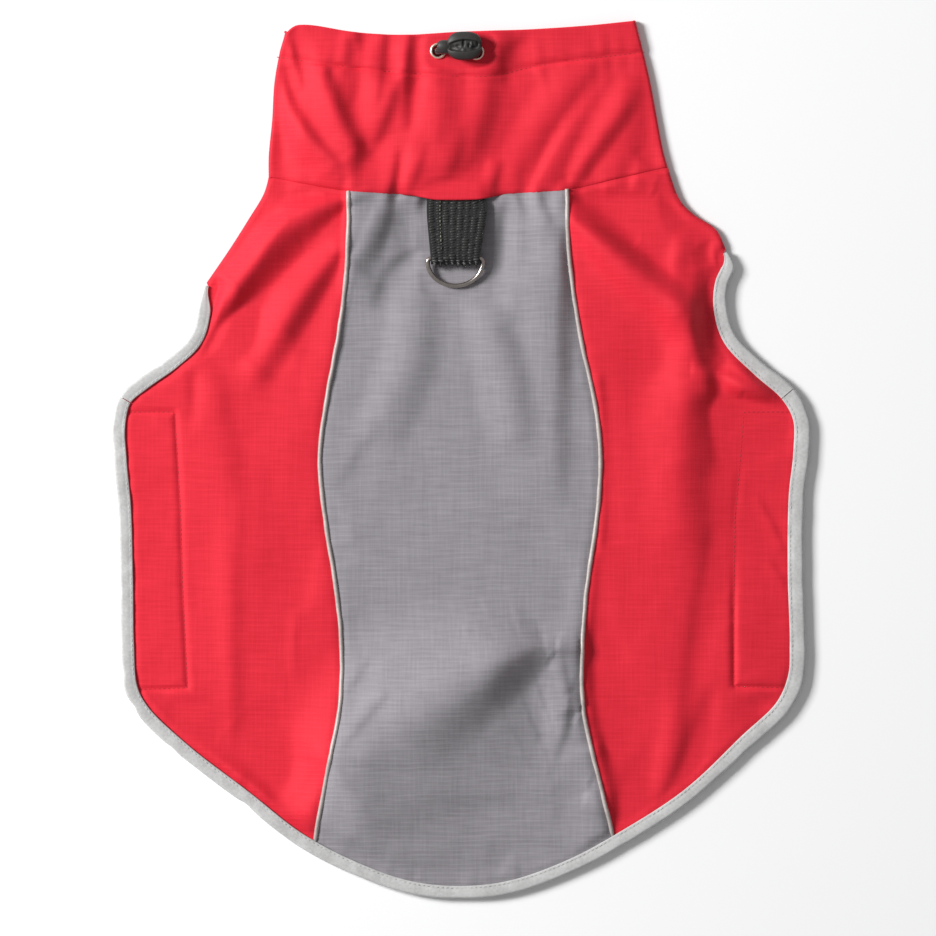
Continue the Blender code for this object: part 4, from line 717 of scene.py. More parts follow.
def ripstop(name, deep, plain, pale, turn, rib_across, rib_along):
    """Ripstop cloth between a deep and a pale tone of its colour."""
    material, tree, shader = new_finish(
        name, Roughness=0.74, IOR=1.53, Specular_IOR_Level=0.35, Sheen_Weight=0.04,
        Sheen_Roughness=0.4)
    place = millimetres(tree, turn)
    sway = node(tree, "ShaderNodeTexNoise", {"Vector": place, "Scale": 0.05, "Detail": 1.0})
    shift = node(tree, "ShaderNodeVectorMath",
                 {0: sway.outputs["Color"], 1: (2.0, 2.0, 0.0)}, operation="MULTIPLY")
    swayed = node(tree, "ShaderNodeVectorMath", {0: place, 1: shift.outputs[0]}, operation="ADD")
    parts = node(tree, "ShaderNodeSeparateXYZ", {0: swayed.outputs[0]})
    across = thread_lines(tree, parts.outputs["Y"], RIPSTOP_PITCH, 0.55)
    along = thread_lines(tree, parts.outputs["X"], RIPSTOP_PITCH, 0.45)
    weft = node(tree, "ShaderNodeTexNoise", {
        "Vector": millimetres(tree, turn, (0.10, 1.1, 0.1)), "Scale": 1.0, "Detail": 3.0})
    warp = node(tree, "ShaderNodeTexNoise", {
        "Vector": millimetres(tree, turn, (1.1, 0.08, 0.1)), "Scale": 1.0, "Detail": 2.0})
    grid = node(tree, "ShaderNodeMath", {0: across, 1: rib_across, 2: 0.0},
                operation="MULTIPLY_ADD")
    grid = node(tree, "ShaderNodeMath", {0: along, 1: rib_along, 2: grid.outputs[0]},
                operation="MULTIPLY_ADD")
    yarn = node(tree, "ShaderNodeMath",
                {0: warp.outputs["Fac"], 1: 0.6, 2: weft.outputs["Fac"]},
                operation="MULTIPLY_ADD")
    tone = node(tree, "ShaderNodeMath", {0: grid.outputs[0], 1: 0.22, 2: yarn.outputs[0]},
                operation="MULTIPLY_ADD")
    share = node(tree, "ShaderNodeMapRange", {
        "Value": tone.outputs[0], "From Min": 0.45, "From Max": 1.35})
    threads = node(tree, "ShaderNodeMix", {
        "Factor": share.outputs["Result"], 6: (*linear(deep), 1.0), 7: (*linear(pale), 1.0)},
        data_type="RGBA")
    colour = node(tree, "ShaderNodeMix", {
        "Factor": 0.5, 6: (*linear(plain), 1.0), 7: threads.outputs[2]}, data_type="RGBA")
    tree.links.new(colour.outputs[2], shader.inputs["Base Color"])
    relief = node(tree, "ShaderNodeMath", {0: grid.outputs[0], 1: yarn.outputs[0]},
                  operation="ADD")
    bump = node(tree, "ShaderNodeBump",
                {"Height": relief.outputs[0], "Strength": 0.75, "Distance": 0.00006})
    tree.links.new(bump.outputs["Normal"], shader.inputs["Normal"])
    return material


RED = ripstop("red coated nylon ripstop", "#C30E23", "#DE1830", "#E92940", 0.8, 0.55, 0.20)
GREY = ripstop("grey coated nylon ripstop", "#736F74", "#8E8A8F", "#A5A1A6", -0.5, 0.85, 0.2)
print("ripstop grid", RIPSTOP_PITCH, "mm")

# %% Bindings, piping and thread
def ribbon(name, deep, plain, pitch, roughness, sheen):
    """Smooth woven tape with fine cross ribs."""
    material, tree, shader = new_finish(
        name, Roughness=roughness, IOR=1.53, Sheen_Weight=sheen, Sheen_Roughness=0.5)
    place = millimetres(tree)
    speck = node(tree, "ShaderNodeTexNoise", {"Vector": place, "Scale": 0.9, "Detail": 3.0})
    cloudy = node(tree, "ShaderNodeTexNoise", {"Vector": place, "Scale": 0.11, "Detail": 1.0})
    both = node(tree, "ShaderNodeMath",
                {0: speck.outputs["Fac"], 1: cloudy.outputs["Fac"]}, operation="ADD")
    share = node(tree, "ShaderNodeMapRange",
                 {"Value": both.outputs[0], "From Min": 0.7, "From Max": 1.3})
    colour = node(tree, "ShaderNodeMix", {
        "Factor": share.outputs["Result"], 6: (*linear(deep), 1.0), 7: (*linear(plain), 1.0)},
        data_type="RGBA")
    tree.links.new(colour.outputs[2], shader.inputs["Base Color"])
    grain = node(tree, "ShaderNodeTexNoise",
                 {"Vector": place, "Scale": 1.0 / pitch, "Detail": 1.0})
    bump = node(tree, "ShaderNodeBump",
                {"Height": grain.outputs["Fac"], "Strength": 0.5, "Distance": 0.00005})
    tree.links.new(bump.outputs["Normal"], shader.inputs["Normal"])
    return material


# Binding: polyester tape woven plain and pressed flat, so light grey with a soft gloss.
# Piping: a cord in tape coated with fine glass beads, so smooth and silver grey by day.
# Thread: spun polyester in the cloth's own tones, fuzzy and matt.
# Webbing: heavy nylon yarn woven thick, so black and matt. Its raised ribs are the same
# yarn painted a paler grey, a painted highlight where the yarn stands up into the light.
# Fleck: one grey yarn in it, which shows as a broken pale line.
# Elastic: rubber in a braided nylon cover, black with a low gloss.
# Closure tape: nylon hooks or loops that stand up like a pile, black and very matt.
BINDING = ribbon("grey polyester binding tape", "#B0AFAE", "#C7C7C6", 0.5, 0.6, 0.08)
PIPING = ribbon("silver glass-bead piping", "#9F9692", "#BCB2AD", 0.4, 0.42, 0.0)
THREAD = ribbon("grey polyester thread", "#A9A8A7", "#C2C1C0", 0.3, 0.6, 0.2)
RED_THREAD = ribbon("red polyester thread", "#8E0C18", "#B01525", 0.3, 0.6, 0.05)
WEBBING = ribbon("black nylon webbing", "#070707", "#101010", 0.3, 0.75, 0.05)
# The ribs' paler colour is a painted highlight on the raised black yarn.
RIB_YARN_PAINTED_HIGHLIGHT = ribbon("black nylon webbing ribs with painted highlight", "#151614", "#333431", 0.3, 0.5, 0.12)
FLECK = ribbon("grey flecked nylon yarn", "#5C5C50", "#8A8A7A", 0.3, 0.55, 0.2)
ELASTIC = ribbon("braided black elastic", "#0F0F10", "#1E1C1E", 0.35, 0.45, 0.1)
CLOSURE = ribbon("black nylon hook tape", "#101011", "#242425", 0.35, 0.8, 0.3)
print("tape and thread finishes", [m.name for m in (BINDING, PIPING, THREAD, WEBBING)])

# %% Metal and moulded plastic
def worn(name, deep, plain, scale, roughness, metallic, bump_depth, **sockets):
    """Hard finish with a slightly cloudy colour and a fine surface."""
    material, tree, shader = new_finish(name, Metallic=metallic, **sockets)
    place = millimetres(tree)
    cloudy = node(tree, "ShaderNodeTexNoise", {"Vector": place, "Scale": scale, "Detail": 3.0})
    colour = node(tree, "ShaderNodeMix", {
        "Factor": cloudy.outputs["Fac"], 6: (*linear(deep), 1.0), 7: (*linear(plain), 1.0)},
        data_type="RGBA")
    tree.links.new(colour.outputs[2], shader.inputs["Base Color"])
    rough = node(tree, "ShaderNodeMapRange", {
        "Value": cloudy.outputs["Fac"], "To Min": roughness - 0.06, "To Max": roughness + 0.08})
    tree.links.new(rough.outputs["Result"], shader.inputs["Roughness"])
    grain = node(tree, "ShaderNodeTexNoise", {"Vector": place, "Scale": 6.0, "Detail": 2.0})
    bump = node(tree, "ShaderNodeBump",
                {"Height": grain.outputs["Fac"], "Strength": 0.4, "Distance": bump_depth})
    tree.links.new(bump.outputs["Normal"], shader.inputs["Normal"])
    return material


# Ring: drawn steel wire, bent, welded and nickel-plated, so bright where it mirrors the
# window and brown-grey elsewhere. Eyelets: thin brass, rolled over and plated pale, so
# warm and bright, a little blurred. Lock: acetal moulded with a satin face, dark grey.
STEEL = worn("nickel-plated steel wire", "#A1968F", "#CCC3BC", 0.5, 0.24, 1.0, 0.00001)
BRASS = worn("pale plated brass", "#F0CBB6", "#FFE8DA", 0.6, 0.40, 1.0, 0.00001)
ACETAL = worn("satin moulded acetal", "#262524", "#363533", 0.4, 0.55, 0.0, 0.00002, IOR=1.48)
print("hard finishes", [m.name for m in (STEEL, BRASS, ACETAL)])

# %% [markdown]
# ## From an outline to a cloth shell
# A panel is cut from flat cloth, so its mesh starts as a flat net: the cut edge plus a
# fine triangular grid, joined into triangles that keep the cut edge. Each point of the
# net is then lifted to the cloth's height. A second copy just below, joined round the
# rim, gives the shell its thickness. A grid finer than the narrowest crease keeps the
# folds soft.

# %% Mesh pieces and what they stand for
CLOTH = 0.7


def mesh_piece(name, points, faces, material, sharp=55.0, turn_out=False):
    """Object from points in millimetres, smooth but for its sharp edges."""
    mesh = bpy.data.meshes.new(name)
    mesh.from_pydata((np.asarray(points, float) * MM).tolist(), [], faces)
    if turn_out:
        shape = bmesh.new()
        shape.from_mesh(mesh)
        bmesh.ops.recalc_face_normals(shape, faces=shape.faces)
        shape.to_mesh(mesh)
        shape.free()
    mesh.shade_smooth()
    mesh.set_sharp_from_angle(angle=math.radians(sharp))
    mesh.materials.append(material)
    made = bpy.data.objects.new(name, mesh)
    bpy.context.scene.collection.objects.link(made)
    return made


def dress(piece, node_names, body=BODY):
    """Let a piece stand for its CAD nodes: put it on their body and hide them."""
    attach(piece, body)
    if node_names:
        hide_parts(*node_names)
    return piece


print("cloth is", CLOTH, "mm thick")

# %% Flat nets
# How far the net's own points stay from a sewn line and from the cut edge
CLEAR_OF_LINE, CLEAR_OF_EDGE = 0.7, 0.5


def inside(points, outline):
    """Whether each point lies inside a closed outline."""
    x, y = points.T
    odd = np.zeros(len(points), bool)
    for (x0, y0), (x1, y1) in zip(outline, np.roll(outline, -1, axis=0)):
        crosses = (y0 > y) != (y1 > y)
        if crosses.any():
            odd ^= crosses & (x < x0 + (y - y0) * (x1 - x0) / (y1 - y0))
    return odd


def cloth_net(outline, step, guides):
    """Flat triangles that fill an outline, with finer points along the sewn lines."""
    outline = np.asarray(outline, float)
    low, high = outline.min(axis=0), outline.max(axis=0)
    grid = []
    for number, y in enumerate(np.arange(low[1], high[1], step * math.sqrt(0.75))):
        xs = np.arange(low[0] + (number % 2) * step / 2, high[0], step)
        grid.append(np.column_stack([xs, np.full(len(xs), y)]))
    grid = np.vstack(grid)
    grid = grid[inside(grid, outline)]
    closed = np.vstack([outline, outline[:1]])
    for guide in guides:
        grid = grid[distance_to(grid, guide) > CLEAR_OF_LINE]
    grid = np.vstack([grid] + list(guides))
    grid = grid[inside(grid, outline)]
    grid = grid[distance_to(grid, closed) > CLEAR_OF_EDGE]
    net = delaunay_2d_cdt([Vector(p) for p in np.vstack([outline, grid])], [],
                          [list(range(len(outline)))], 1, 1e-6)
    return np.array([tuple(spot) for spot in net[0]]), np.array(net[2])


square = cloth_net([(0.0, 0.0), (9.0, 0.0), (9.0, 9.0), (0.0, 9.0)], 2.0, [])
print("a 9 mm square makes a net of", len(square[1]), "triangles")

# %% Shells and swept solids
def shell_faces(triangles, count):
    """Faces of a shell: top, bottom and rim."""
    edges = np.vstack([triangles[:, [0, 1]], triangles[:, [1, 2]], triangles[:, [2, 0]]])
    forward, back = edges @ (count, 1), edges @ (1, count)
    rim = edges[~np.isin(forward, back)]
    faces = triangles.tolist() + (triangles[:, ::-1] + count).tolist()
    return faces + [[b, a, a + count, b + count] for a, b in rim.tolist()]


def cloth_shell(name, outline, height, step, material, guides=(), thickness=CLOTH):
    """Cloth over an outline whose upper face lies one wall above a height function."""
    spots, triangles = cloth_net(outline, step, guides)
    top = height(spots) + WALL
    points = np.vstack([np.column_stack([spots, top]), np.column_stack([spots, top - thickness])])
    made = mesh_piece(name, points, shell_faces(triangles, len(spots)), material)
    print(name, len(made.data.polygons), "faces")
    return made


def swept(name, rings, material, closed=False, sharp=55.0):
    """Solid through a row of rings, closed on itself or capped at its ends."""
    rings = np.asarray(rings, float)
    count, sides = rings.shape[:2]
    faces = []
    for i in range(count if closed else count - 1):
        a, b = i * sides, (i + 1) % count * sides
        faces += [[a + j, a + (j + 1) % sides, b + (j + 1) % sides, b + j] for j in range(sides)]
    if not closed:
        faces += [list(range(sides)), list(range((count - 1) * sides, count * sides))]
    return mesh_piece(name, rings.reshape(-1, 3), faces, material, sharp, turn_out=True)


print("a shell on that net has", len(shell_faces(square[1], len(square[0]))), "faces")

# %% [markdown]
# ## Body panels
# Three pieces make the vest's back: a grey hourglass and two red side panels with the
# closure wings. They are sewn to each other with piping between them and to the collar
# along the neck. The cut edges run under the bindings. All three share one height
# function, so the folds run through the seams.

# %% Where the seams cross the edges
PIPE_RADIUS = 0.85
SEAM_SHIFT = 0.8
# A seam edge's own points stay this far from its ends
SEAM_END = 0.5


def seam_x(seam, y):
    """X where a piping seam passes a given y."""
    order = np.argsort(seam[:, 1])
    return np.interp(y, seam[order, 1], seam[order, 0])


def split_at_seam(line, seam, side):
    """Number of the first point of a line past a seam edge, and the crossing point."""
    ahead = line[:, 0] - seam_x(seam, line[:, 1]) - side * SEAM_SHIFT
    number = int(np.argmax(ahead > 0.0))
    share = ahead[number - 1] / (ahead[number - 1] - ahead[number])
    return number, line[number - 1] + share * (line[number] - line[number - 1])


def seam_edge(seam, side, low, high):
    """Panel edge beside the piping, upwards between two heights on the vest."""
    ys = seam[:, 1]
    ys = np.sort(ys[(ys > low + SEAM_END) & (ys < high - SEAM_END)])
    return np.column_stack([seam_x(seam, ys) + side * SEAM_SHIFT, ys])


print("seams at mid back: x", seam_x(SEAM_LEFT, 0.0).round(1), seam_x(SEAM_RIGHT, 0.0).round(1))

# %% Panel outlines
# The cut edge lies this far inside the bound edge, and this far under the collar
CUT_INSET, NECK_TUCK = 1.3, 0.5
RIM = inward(EDGE, CUT_INSET)
NECK_EDGE = NECK + (0.0, NECK_TUCK)
FIRST, LAST = (int(np.linalg.norm(EDGE - corner, axis=1).argmin()) for corner in WING_CORNERS)


def hem_split(seam, side):
    """Where a seam edge meets the hem: its number along the rim, and the point."""
    number, point = split_at_seam(RIM[FIRST:LAST], seam, side)
    return number + FIRST, point


def side_outline_left():
    """Outline of the left red panel, counterclockwise from the armhole's top."""
    n, low = hem_split(SEAM_LEFT, -1)
    k, high = split_at_seam(NECK_EDGE, SEAM_LEFT, -1)
    return np.vstack([RIM[:n], low, seam_edge(SEAM_LEFT, -1, low[1], high[1]), high,
                      NECK_EDGE[:k][::-1], spline(SHOULDER_LEFT, step=FINE_STEP)[1:-1]])


def side_outline_right():
    """Outline of the right red panel, counterclockwise from the hem."""
    n, low = hem_split(SEAM_RIGHT, 1)
    k, high = split_at_seam(NECK_EDGE, SEAM_RIGHT, 1)
    return np.vstack([low, RIM[n:], spline(SHOULDER_RIGHT, step=FINE_STEP)[1:-1][::-1],
                      NECK_EDGE[k:][::-1], high,
                      seam_edge(SEAM_RIGHT, 1, low[1], high[1])[::-1]])


def back_outline():
    """Outline of the grey back panel, counterclockwise from the hem's left end."""
    n1, low1 = hem_split(SEAM_LEFT, 1)
    n2, low2 = hem_split(SEAM_RIGHT, -1)
    k1, high1 = split_at_seam(NECK_EDGE, SEAM_LEFT, 1)
    k2, high2 = split_at_seam(NECK_EDGE, SEAM_RIGHT, -1)
    return np.vstack([low1, RIM[n1:n2], low2, seam_edge(SEAM_RIGHT, -1, low2[1], high2[1]),
                      high2, NECK_EDGE[k1:k2][::-1], high1,
                      seam_edge(SEAM_LEFT, 1, low1[1], high1[1])[::-1]])


print("back outline", len(back_outline()), "points")

# %% Make the three panels
SHOULDER_ROLL, SHOULDER_ROLL_WIDTH = 0.7, 1.3


def panel_height(points):
    """Cloth height, rolled down where the shoulder folds over to the chest panel."""
    side = np.minimum(distance_to(points, SIDE_LEFT), distance_to(points, SIDE_RIGHT))
    roll = 1.0 - np.clip(side / SHOULDER_ROLL_WIDTH, 0.0, 1.0)
    return cloth_height(points) - SHOULDER_ROLL * roll ** 2


def fine_lines(line, offsets, step=0.9):
    """Lines beside a sewn line, so that the net can follow its narrow valley."""
    line = resample(line, int(line_length(line) / step))
    return [inward(line, offset) for offset in offsets]


hem_guides = fine_lines(EDGE, (4.9, 5.5, 6.2), 1.1) + fine_lines(NECK, (-0.6, -1.2), 1.0)
wing_guides = [fine_lines(np.array(line), (-1.1, -0.5, 0.0, 0.5, 1.1))
               for line in (TAPE_LEFT, TAPE_RIGHT)]
left_cloth = cloth_shell("side_cloth_left", side_outline_left(), panel_height, 1.15, RED,
                         hem_guides + wing_guides[0])
right_cloth = cloth_shell("side_cloth_right", side_outline_right(), panel_height, 1.15, RED,
                          hem_guides + wing_guides[1])
back_cloth = cloth_shell("back_cloth", back_outline(), panel_height, 1.2, GREY, hem_guides)
dress(left_cloth, ["side_panel_left"])
dress(right_cloth, ["side_panel_right"])
dress(back_cloth, ["back_panel"])

# %% [markdown]
# ## Funnel collar
# The collar is one band of ripstop sewn into a tube and laid flat, so it shows an upper
# and a lower layer with a soft fold at each side. Its top edge is turned in to make the
# casing for the drawcord. It is built as rings of points that run round the tube, from
# the neck seam up to the rim, on a patch stretched between the collar's four edges.
# Solidify then gives the cloth its thickness on the inside.

# %% Collar plan
COLLAR_COLUMNS = 130
COLLAR_ROWS = 96
# The seam dips over the webbing: depth, its middle, and where the dip ends
SEAM_DIP, SEAM_DIP_X, SEAM_DIP_ENDS = 1.3, -1.6, (8.0, 19.0)
# Room for the rolled rim, taken off the collar's height
RIM_TURN = 1.2


def collar_plan():
    """Rows of plan points over the collar's upper layer, from seam to rim."""
    low = spline(COLLAR_SEAM, count=COLLAR_COLUMNS)
    high = spline(COLLAR_TOP, count=COLLAR_COLUMNS)
    left = spline(COLLAR_LEFT, count=COLLAR_ROWS)
    right = spline(COLLAR_RIGHT, count=COLLAR_ROWS)
    low[:, 1] -= SEAM_DIP * (1.0 - ramp(np.abs(low[:, 0] - SEAM_DIP_X), *SEAM_DIP_ENDS))
    for line in (low, high):
        line[:, 0] += np.linspace(SIDE_FOLD_RADIUS, -SIDE_FOLD_RADIUS, COLLAR_COLUMNS)
    left[:, 0] += SIDE_FOLD_RADIUS
    right[:, 0] -= SIDE_FOLD_RADIUS
    s = np.linspace(0.0, 1.0, COLLAR_COLUMNS)[None, :, None]
    t = np.linspace(0.0, 1.0, COLLAR_ROWS)[:, None, None]
    corners = ((1 - s) * (1 - t) * low[0] + s * (1 - t) * low[-1]
               + (1 - s) * t * high[0] + s * t * high[-1])
    patch = (1 - t) * low + t * high + (1 - s) * left[:, None] + s * right[:, None] - corners
    patch[..., 1] -= RIM_TURN * t[..., 0] ** 2
    return patch


print("collar plan", collar_plan().shape)

# %% Collar height and rim
# The collar bulges over the webbing: extra height, its middle, ends across and along
BULGE, BULGE_X, BULGE_ACROSS, BULGE_ALONG = 1.2, -3.3, (10.0, 21.0), (1.0, 14.0)
CASING_EXTRA = 0.5
CASING_STEP = (0.3, 3.5)
WEB_THICKNESS = 1.1
COLLAR_TOP_Y = 174.0
# The rim's left corner is rounded: width, drop and how far down it goes
CORNER_WIDTH, CORNER_DROP, CORNER_TALL = 4.5, 2.6, 12.0
# The rim's edge rolls over: how far out and down each of its rings lies
RIM_ROUND = ((0.30, 0.15), (0.50, 0.50), (0.58, 0.95))


def collar_top(points):
    """Height of the collar's outer face: over the cord in its casing, and over the webbing."""
    across = 1.0 - ramp(np.abs(points[:, 0] - BULGE_X), *BULGE_ACROSS)
    along = 1.0 - ramp(points[:, 1] - np.interp(points[:, 0], *NECK.T), *BULGE_ALONG)
    rise = across * along
    bulge = WEB_REST_HEIGHT + WALL + 2 * GAP + WEB_THICKNESS + BULGE
    height = cloth_height(points) * (1.0 - rise) + bulge * rise
    into_casing = points[:, 1] - np.interp(points[:, 0], *CASING.T)
    return height + WALL + CASING_EXTRA * ramp(into_casing, *CASING_STEP)


plan = collar_plan()
tops = collar_top(plan.reshape(-1, 2)).reshape(plan.shape[:2])
for row in plan:
    from_rim = COLLAR_TOP_Y - row[:, 1]
    corner = np.clip(1.0 - (row[:, 0] - row[0, 0]) / CORNER_WIDTH, 0.0, 1.0)
    row[:, 1] -= CORNER_DROP * corner ** 2 * (1.0 - ramp(from_rim, 0.0, CORNER_TALL))
rim_out = left_of(ahead_of(plan[-1]))
for out, drop in RIM_ROUND:
    plan = np.concatenate([plan, (plan[COLLAR_ROWS - 1] + out * rim_out)[None]])
    tops = np.vstack([tops, tops[COLLAR_ROWS - 1] - drop])
print("collar tops up to", tops.max().round(1), "mm")

# %% Rings round the tube
UNDER_COLUMNS = 40
EYELETS = {"left": (-9.2, 163.2), "right": (6.1, 162.7)}
EYELET_BARREL = 2.6
# Angles of the points round a side fold, in degrees
FOLD_TURN = (-70, -45, -22, 0, 22, 45, 70)
# Points this far from an eyelet move onto its barrel, on the upper layer alone
EYELET_SNAP = (1.3, 3.3)
UPPER_LAYER = 2.0
# The hole in the cloth is smaller than the barrel by this much
HOLE_MARGIN = 0.1


def collar_ring(row, top):
    """Points round the tube: lower layer, right fold, upper layer, left fold."""
    under = resample(row, UNDER_COLUMNS)
    ring = [(x, y, 0.0) for x, y in under]
    for end, side in ((-1, 1.0), (0, -1.0)):
        x, y = row[end]
        middle = top[end] / 2
        for angle in np.radians(FOLD_TURN) * side:
            ring.append((x + side * SIDE_FOLD_RADIUS * math.cos(angle), y,
                         middle + middle * math.sin(angle)))
        if side > 0:
            ring += [(px, py, z) for (px, py), z in zip(row[::-1], top[::-1])]
    return ring


rings = np.array([collar_ring(row, top) for row, top in zip(plan, tops)])
for centre in EYELETS.values():
    away = rings[..., :2] - centre
    far = np.linalg.norm(away, axis=2)
    snap = (far > EYELET_SNAP[0]) & (far < EYELET_SNAP[1]) & (rings[..., 2] > UPPER_LAYER)
    rings[snap, :2] = centre + away[snap] / far[snap][:, None] * EYELET_BARREL
print("collar rings", rings.shape)

# %% Build the collar, open where the eyelets go through
rows, around_tube = rings.shape[:2]
faces = []
flat_rings = rings.reshape(-1, 3)
for i in range(rows - 1):
    for j in range(around_tube):
        k = (j + 1) % around_tube
        face = [i * around_tube + k, i * around_tube + j,
                (i + 1) * around_tube + j, (i + 1) * around_tube + k]
        middle = flat_rings[face].mean(axis=0)
        holes = [np.linalg.norm(middle[:2] - centre) < EYELET_BARREL - HOLE_MARGIN
                 for centre in EYELETS.values()]
        if not (any(holes) and middle[2] > UPPER_LAYER):
            faces.append(face)
collar_cloth = mesh_piece("collar_cloth", flat_rings, faces, RED)
solid = collar_cloth.modifiers.new("cloth", "SOLIDIFY")
solid.thickness = CLOTH * MM
solid.offset = -1.0
dress(collar_cloth, ["collar"])
print("collar", len(faces), "faces")

# %% [markdown]
# ## Bindings
# A binding is a strip of tape folded over the raw edge and sewn through. Its section is
# a flattened loop: the fold lies outside, and both turned-in edges point into the cloth.
# The section is swept along the edge curve. Where the tape goes round a curve it puckers,
# so the upper leaf gets small uneven cross ripples and the outer fold wanders a little.

# %% Section, nicks and width of a binding
# Section of the folded tape: depth into the cloth and height
TAPE_SECTION = [
    (5.2, 0), (3, 0), (0.8, 0.05), (0.2, 0.6), (0, 1.6), (0.1, 2.6), (0.28, 3.1),
    (0.6, 3.35), (1.1, 3.42), (2.4, 3.46), (3.5, 3.42), (4.3, 3.2), (4.8, 3.3), (5.2, 3.1),
    (5.2, 2.65), (4.3, 2.65), (2, 2.75), (1.1, 2.5), (1, 1.4), (1.9, 0.75), (5.2, 0.7),
]
# Places where the folded edge is nicked: x, y, depth and half width in mm
NICKS = [
    (-109.2, 42.8, 0.7, 2.2), (-120.4, 36.4, 0.6, 2), (-134.4, 25.6, 0.7, 2.4),
    (-136, -86, 0.8, 3), (-131, -99, 0.7, 2.5), (-114.4, -114.4, 0.6, 2.5),
    (-86, -137.6, 0.6, 3), (-68.4, -148.4, 0.5, 2.5), (134.8, -58, 0.5, 2),
    (137, 18.8, 0.6, 2.4), (129.6, -96.4, 0.7, 2.6),
]
TAPE_WIDER, TAPE_WIDER_X = 0.24, (98.0, 136.0)


def smooth_ahead(path, reach=4):
    """Direction along a path, averaged over a few neighbours."""
    ahead = ahead_of(path)
    padded = np.vstack([ahead[:1]] * reach + [ahead] + [ahead[-1:]] * reach)
    kernel = np.hanning(2 * reach + 3)[1:-1]
    ahead = np.column_stack([np.convolve(c, kernel / kernel.sum(), "valid") for c in padded.T])
    return unit(ahead)


def tape_growth(spots):
    """How much wider the tape is than usual, which it is on the vest's right side."""
    return 1.0 + TAPE_WIDER * ramp(spots[:, 0], *TAPE_WIDER_X)


print("binding section", len(TAPE_SECTION), "points,", len(NICKS), "nicks")

# %% Folded tape along an edge
TAPE_WANDER, TAPE_WANDER_SPACING = 0.22, 7.0
TAPE_RIPPLE, TAPE_RIPPLE_SPACING = 0.16, 2.6
NICK_REACH = 12.0
TAPE_END = 0.3
UPPER_LEAF = 2.9


def folded_tape(name, path, run, ends, seed, narrow=(0.0, 0.0), tall=1.0):
    """Tape folded over part of an edge, cut back and narrowed at its ends."""
    ahead = smooth_ahead(path)[run]
    left = left_of(ahead)
    spots = path[run].copy()
    spots[0] += ahead[0] * ends[0]
    spots[-1] -= ahead[-1] * ends[1]
    at = run_along(spots)
    wander = TAPE_WANDER * noise(at / TAPE_WANDER_SPACING, seed + 0.3)
    for x, y, depth, width in NICKS:
        far = np.linalg.norm(spots - (x, y), axis=1)
        wander += depth * np.exp(-(far / width) ** 2) * (far < NICK_REACH)
    wide = tape_growth(spots)
    for reach, far in zip(narrow, (at, at[-1] - at)):
        if reach:
            wide *= TAPE_END + (1.0 - TAPE_END) * ramp(far, 0.0, reach)
    rings = np.empty((len(at), len(TAPE_SECTION), 3))
    for number, (depth, z) in enumerate(TAPE_SECTION):
        outer = wander * (1.0 - depth / BINDING_WIDTH)
        rings[:, number, :2] = spots + left * (depth * wide + outer)[:, None]
        rings[:, number, 2] = z * tall
        if z > UPPER_LEAF:
            ripple = noise(at / TAPE_RIPPLE_SPACING + depth * 0.25, seed + 9.0 + depth / 3.0)
            rings[:, number, 2] += TAPE_RIPPLE * ripple * ramp(depth, 0.2, 2.0)
    made = swept(name, rings, BINDING, sharp=70.0)
    print(name, round(at[-1]), "mm")
    return made


print("a tape is", BINDING_WIDTH, "mm wide")

# %% Make the bindings
# Height of the chest panel's tape and edge, as a share of the others
CHEST_TALL = 0.7
chest_edge = spline(CHEST_EDGE, step=1.6)
hem_tape = folded_tape("hem_tape", EDGE, slice(FIRST, LAST + 1), (0.0, 0.0), 3.0)
armhole_tape_left = folded_tape("armhole_tape_left", EDGE, slice(0, FIRST + 1), (0.0, 0.3), 5.0,
                                narrow=(11.0, 0.0))
armhole_tape_right = folded_tape("armhole_tape_right", EDGE, slice(LAST, None), (0.3, 0.0), 7.0,
                                 narrow=(0.0, 7.5))
chest_tape = folded_tape("chest_tape", chest_edge, slice(None), (0.6, 0.6), 11.0,
                         tall=CHEST_TALL)
for made, cad_node in ((hem_tape, "hem_binding"), (armhole_tape_left, "armhole_binding_left"),
                       (armhole_tape_right, "armhole_binding_right"),
                       (chest_tape, "chest_binding")):
    dress(made, [cad_node])

# %% [markdown]
# ## Piping
# Piping is a thin cord wrapped in silver reflective tape and caught in the seam, so a
# round bead stands between the panels. A tube that follows the cloth's own height along
# the seam makes it, thinner and thicker by a hair where the tape creases.

# %% Round tubes
def tube(path, radius, sides, closed=False):
    """Round rings along a path in space; radius may vary along it."""
    path = np.asarray(path, float)
    radius = np.broadcast_to(radius, len(path))
    if closed:
        ahead = np.roll(path, -1, axis=0) - np.roll(path, 1, axis=0)
    else:
        ahead = np.gradient(path, axis=0)
    ahead = unit(ahead)
    across = np.cross(ahead[0], (0.0, 0.0, 1.0))
    if np.linalg.norm(across) < 0.1:
        across = np.cross(ahead[0], (0.0, 1.0, 0.0))
    angles = (np.arange(sides) + 0.5) * math.tau / sides
    rings = []
    for point, direction, size in zip(path, ahead, radius):
        across = across - direction * (across @ direction)
        across = across / np.linalg.norm(across)
        up = np.cross(across, direction)
        rings.append(point + size * (np.cos(angles)[:, None] * across
                                     + np.sin(angles)[:, None] * up))
    return rings


print("a tube 1 mm round has", len(tube([(0, 0, 0), (9, 0, 0)], 1.0, 14)[0]), "sides")

# %% Piping beads
BEAD_STEP = 1.3
BEAD_LOWEST = -170.0
BEAD_END = 3.4
BEAD_TUCK = (BINDING_WIDTH - 0.6, BINDING_WIDTH + 1.0)
BEAD_THINNER, BEAD_LOWER = 0.45, 0.5
BEAD_SWAY, BEAD_SWAY_SPACING = 0.12, 6.0
BEAD_UNEVEN, BEAD_UNEVEN_SPACING = 0.07, 3.0
BEAD_RISE = 0.15


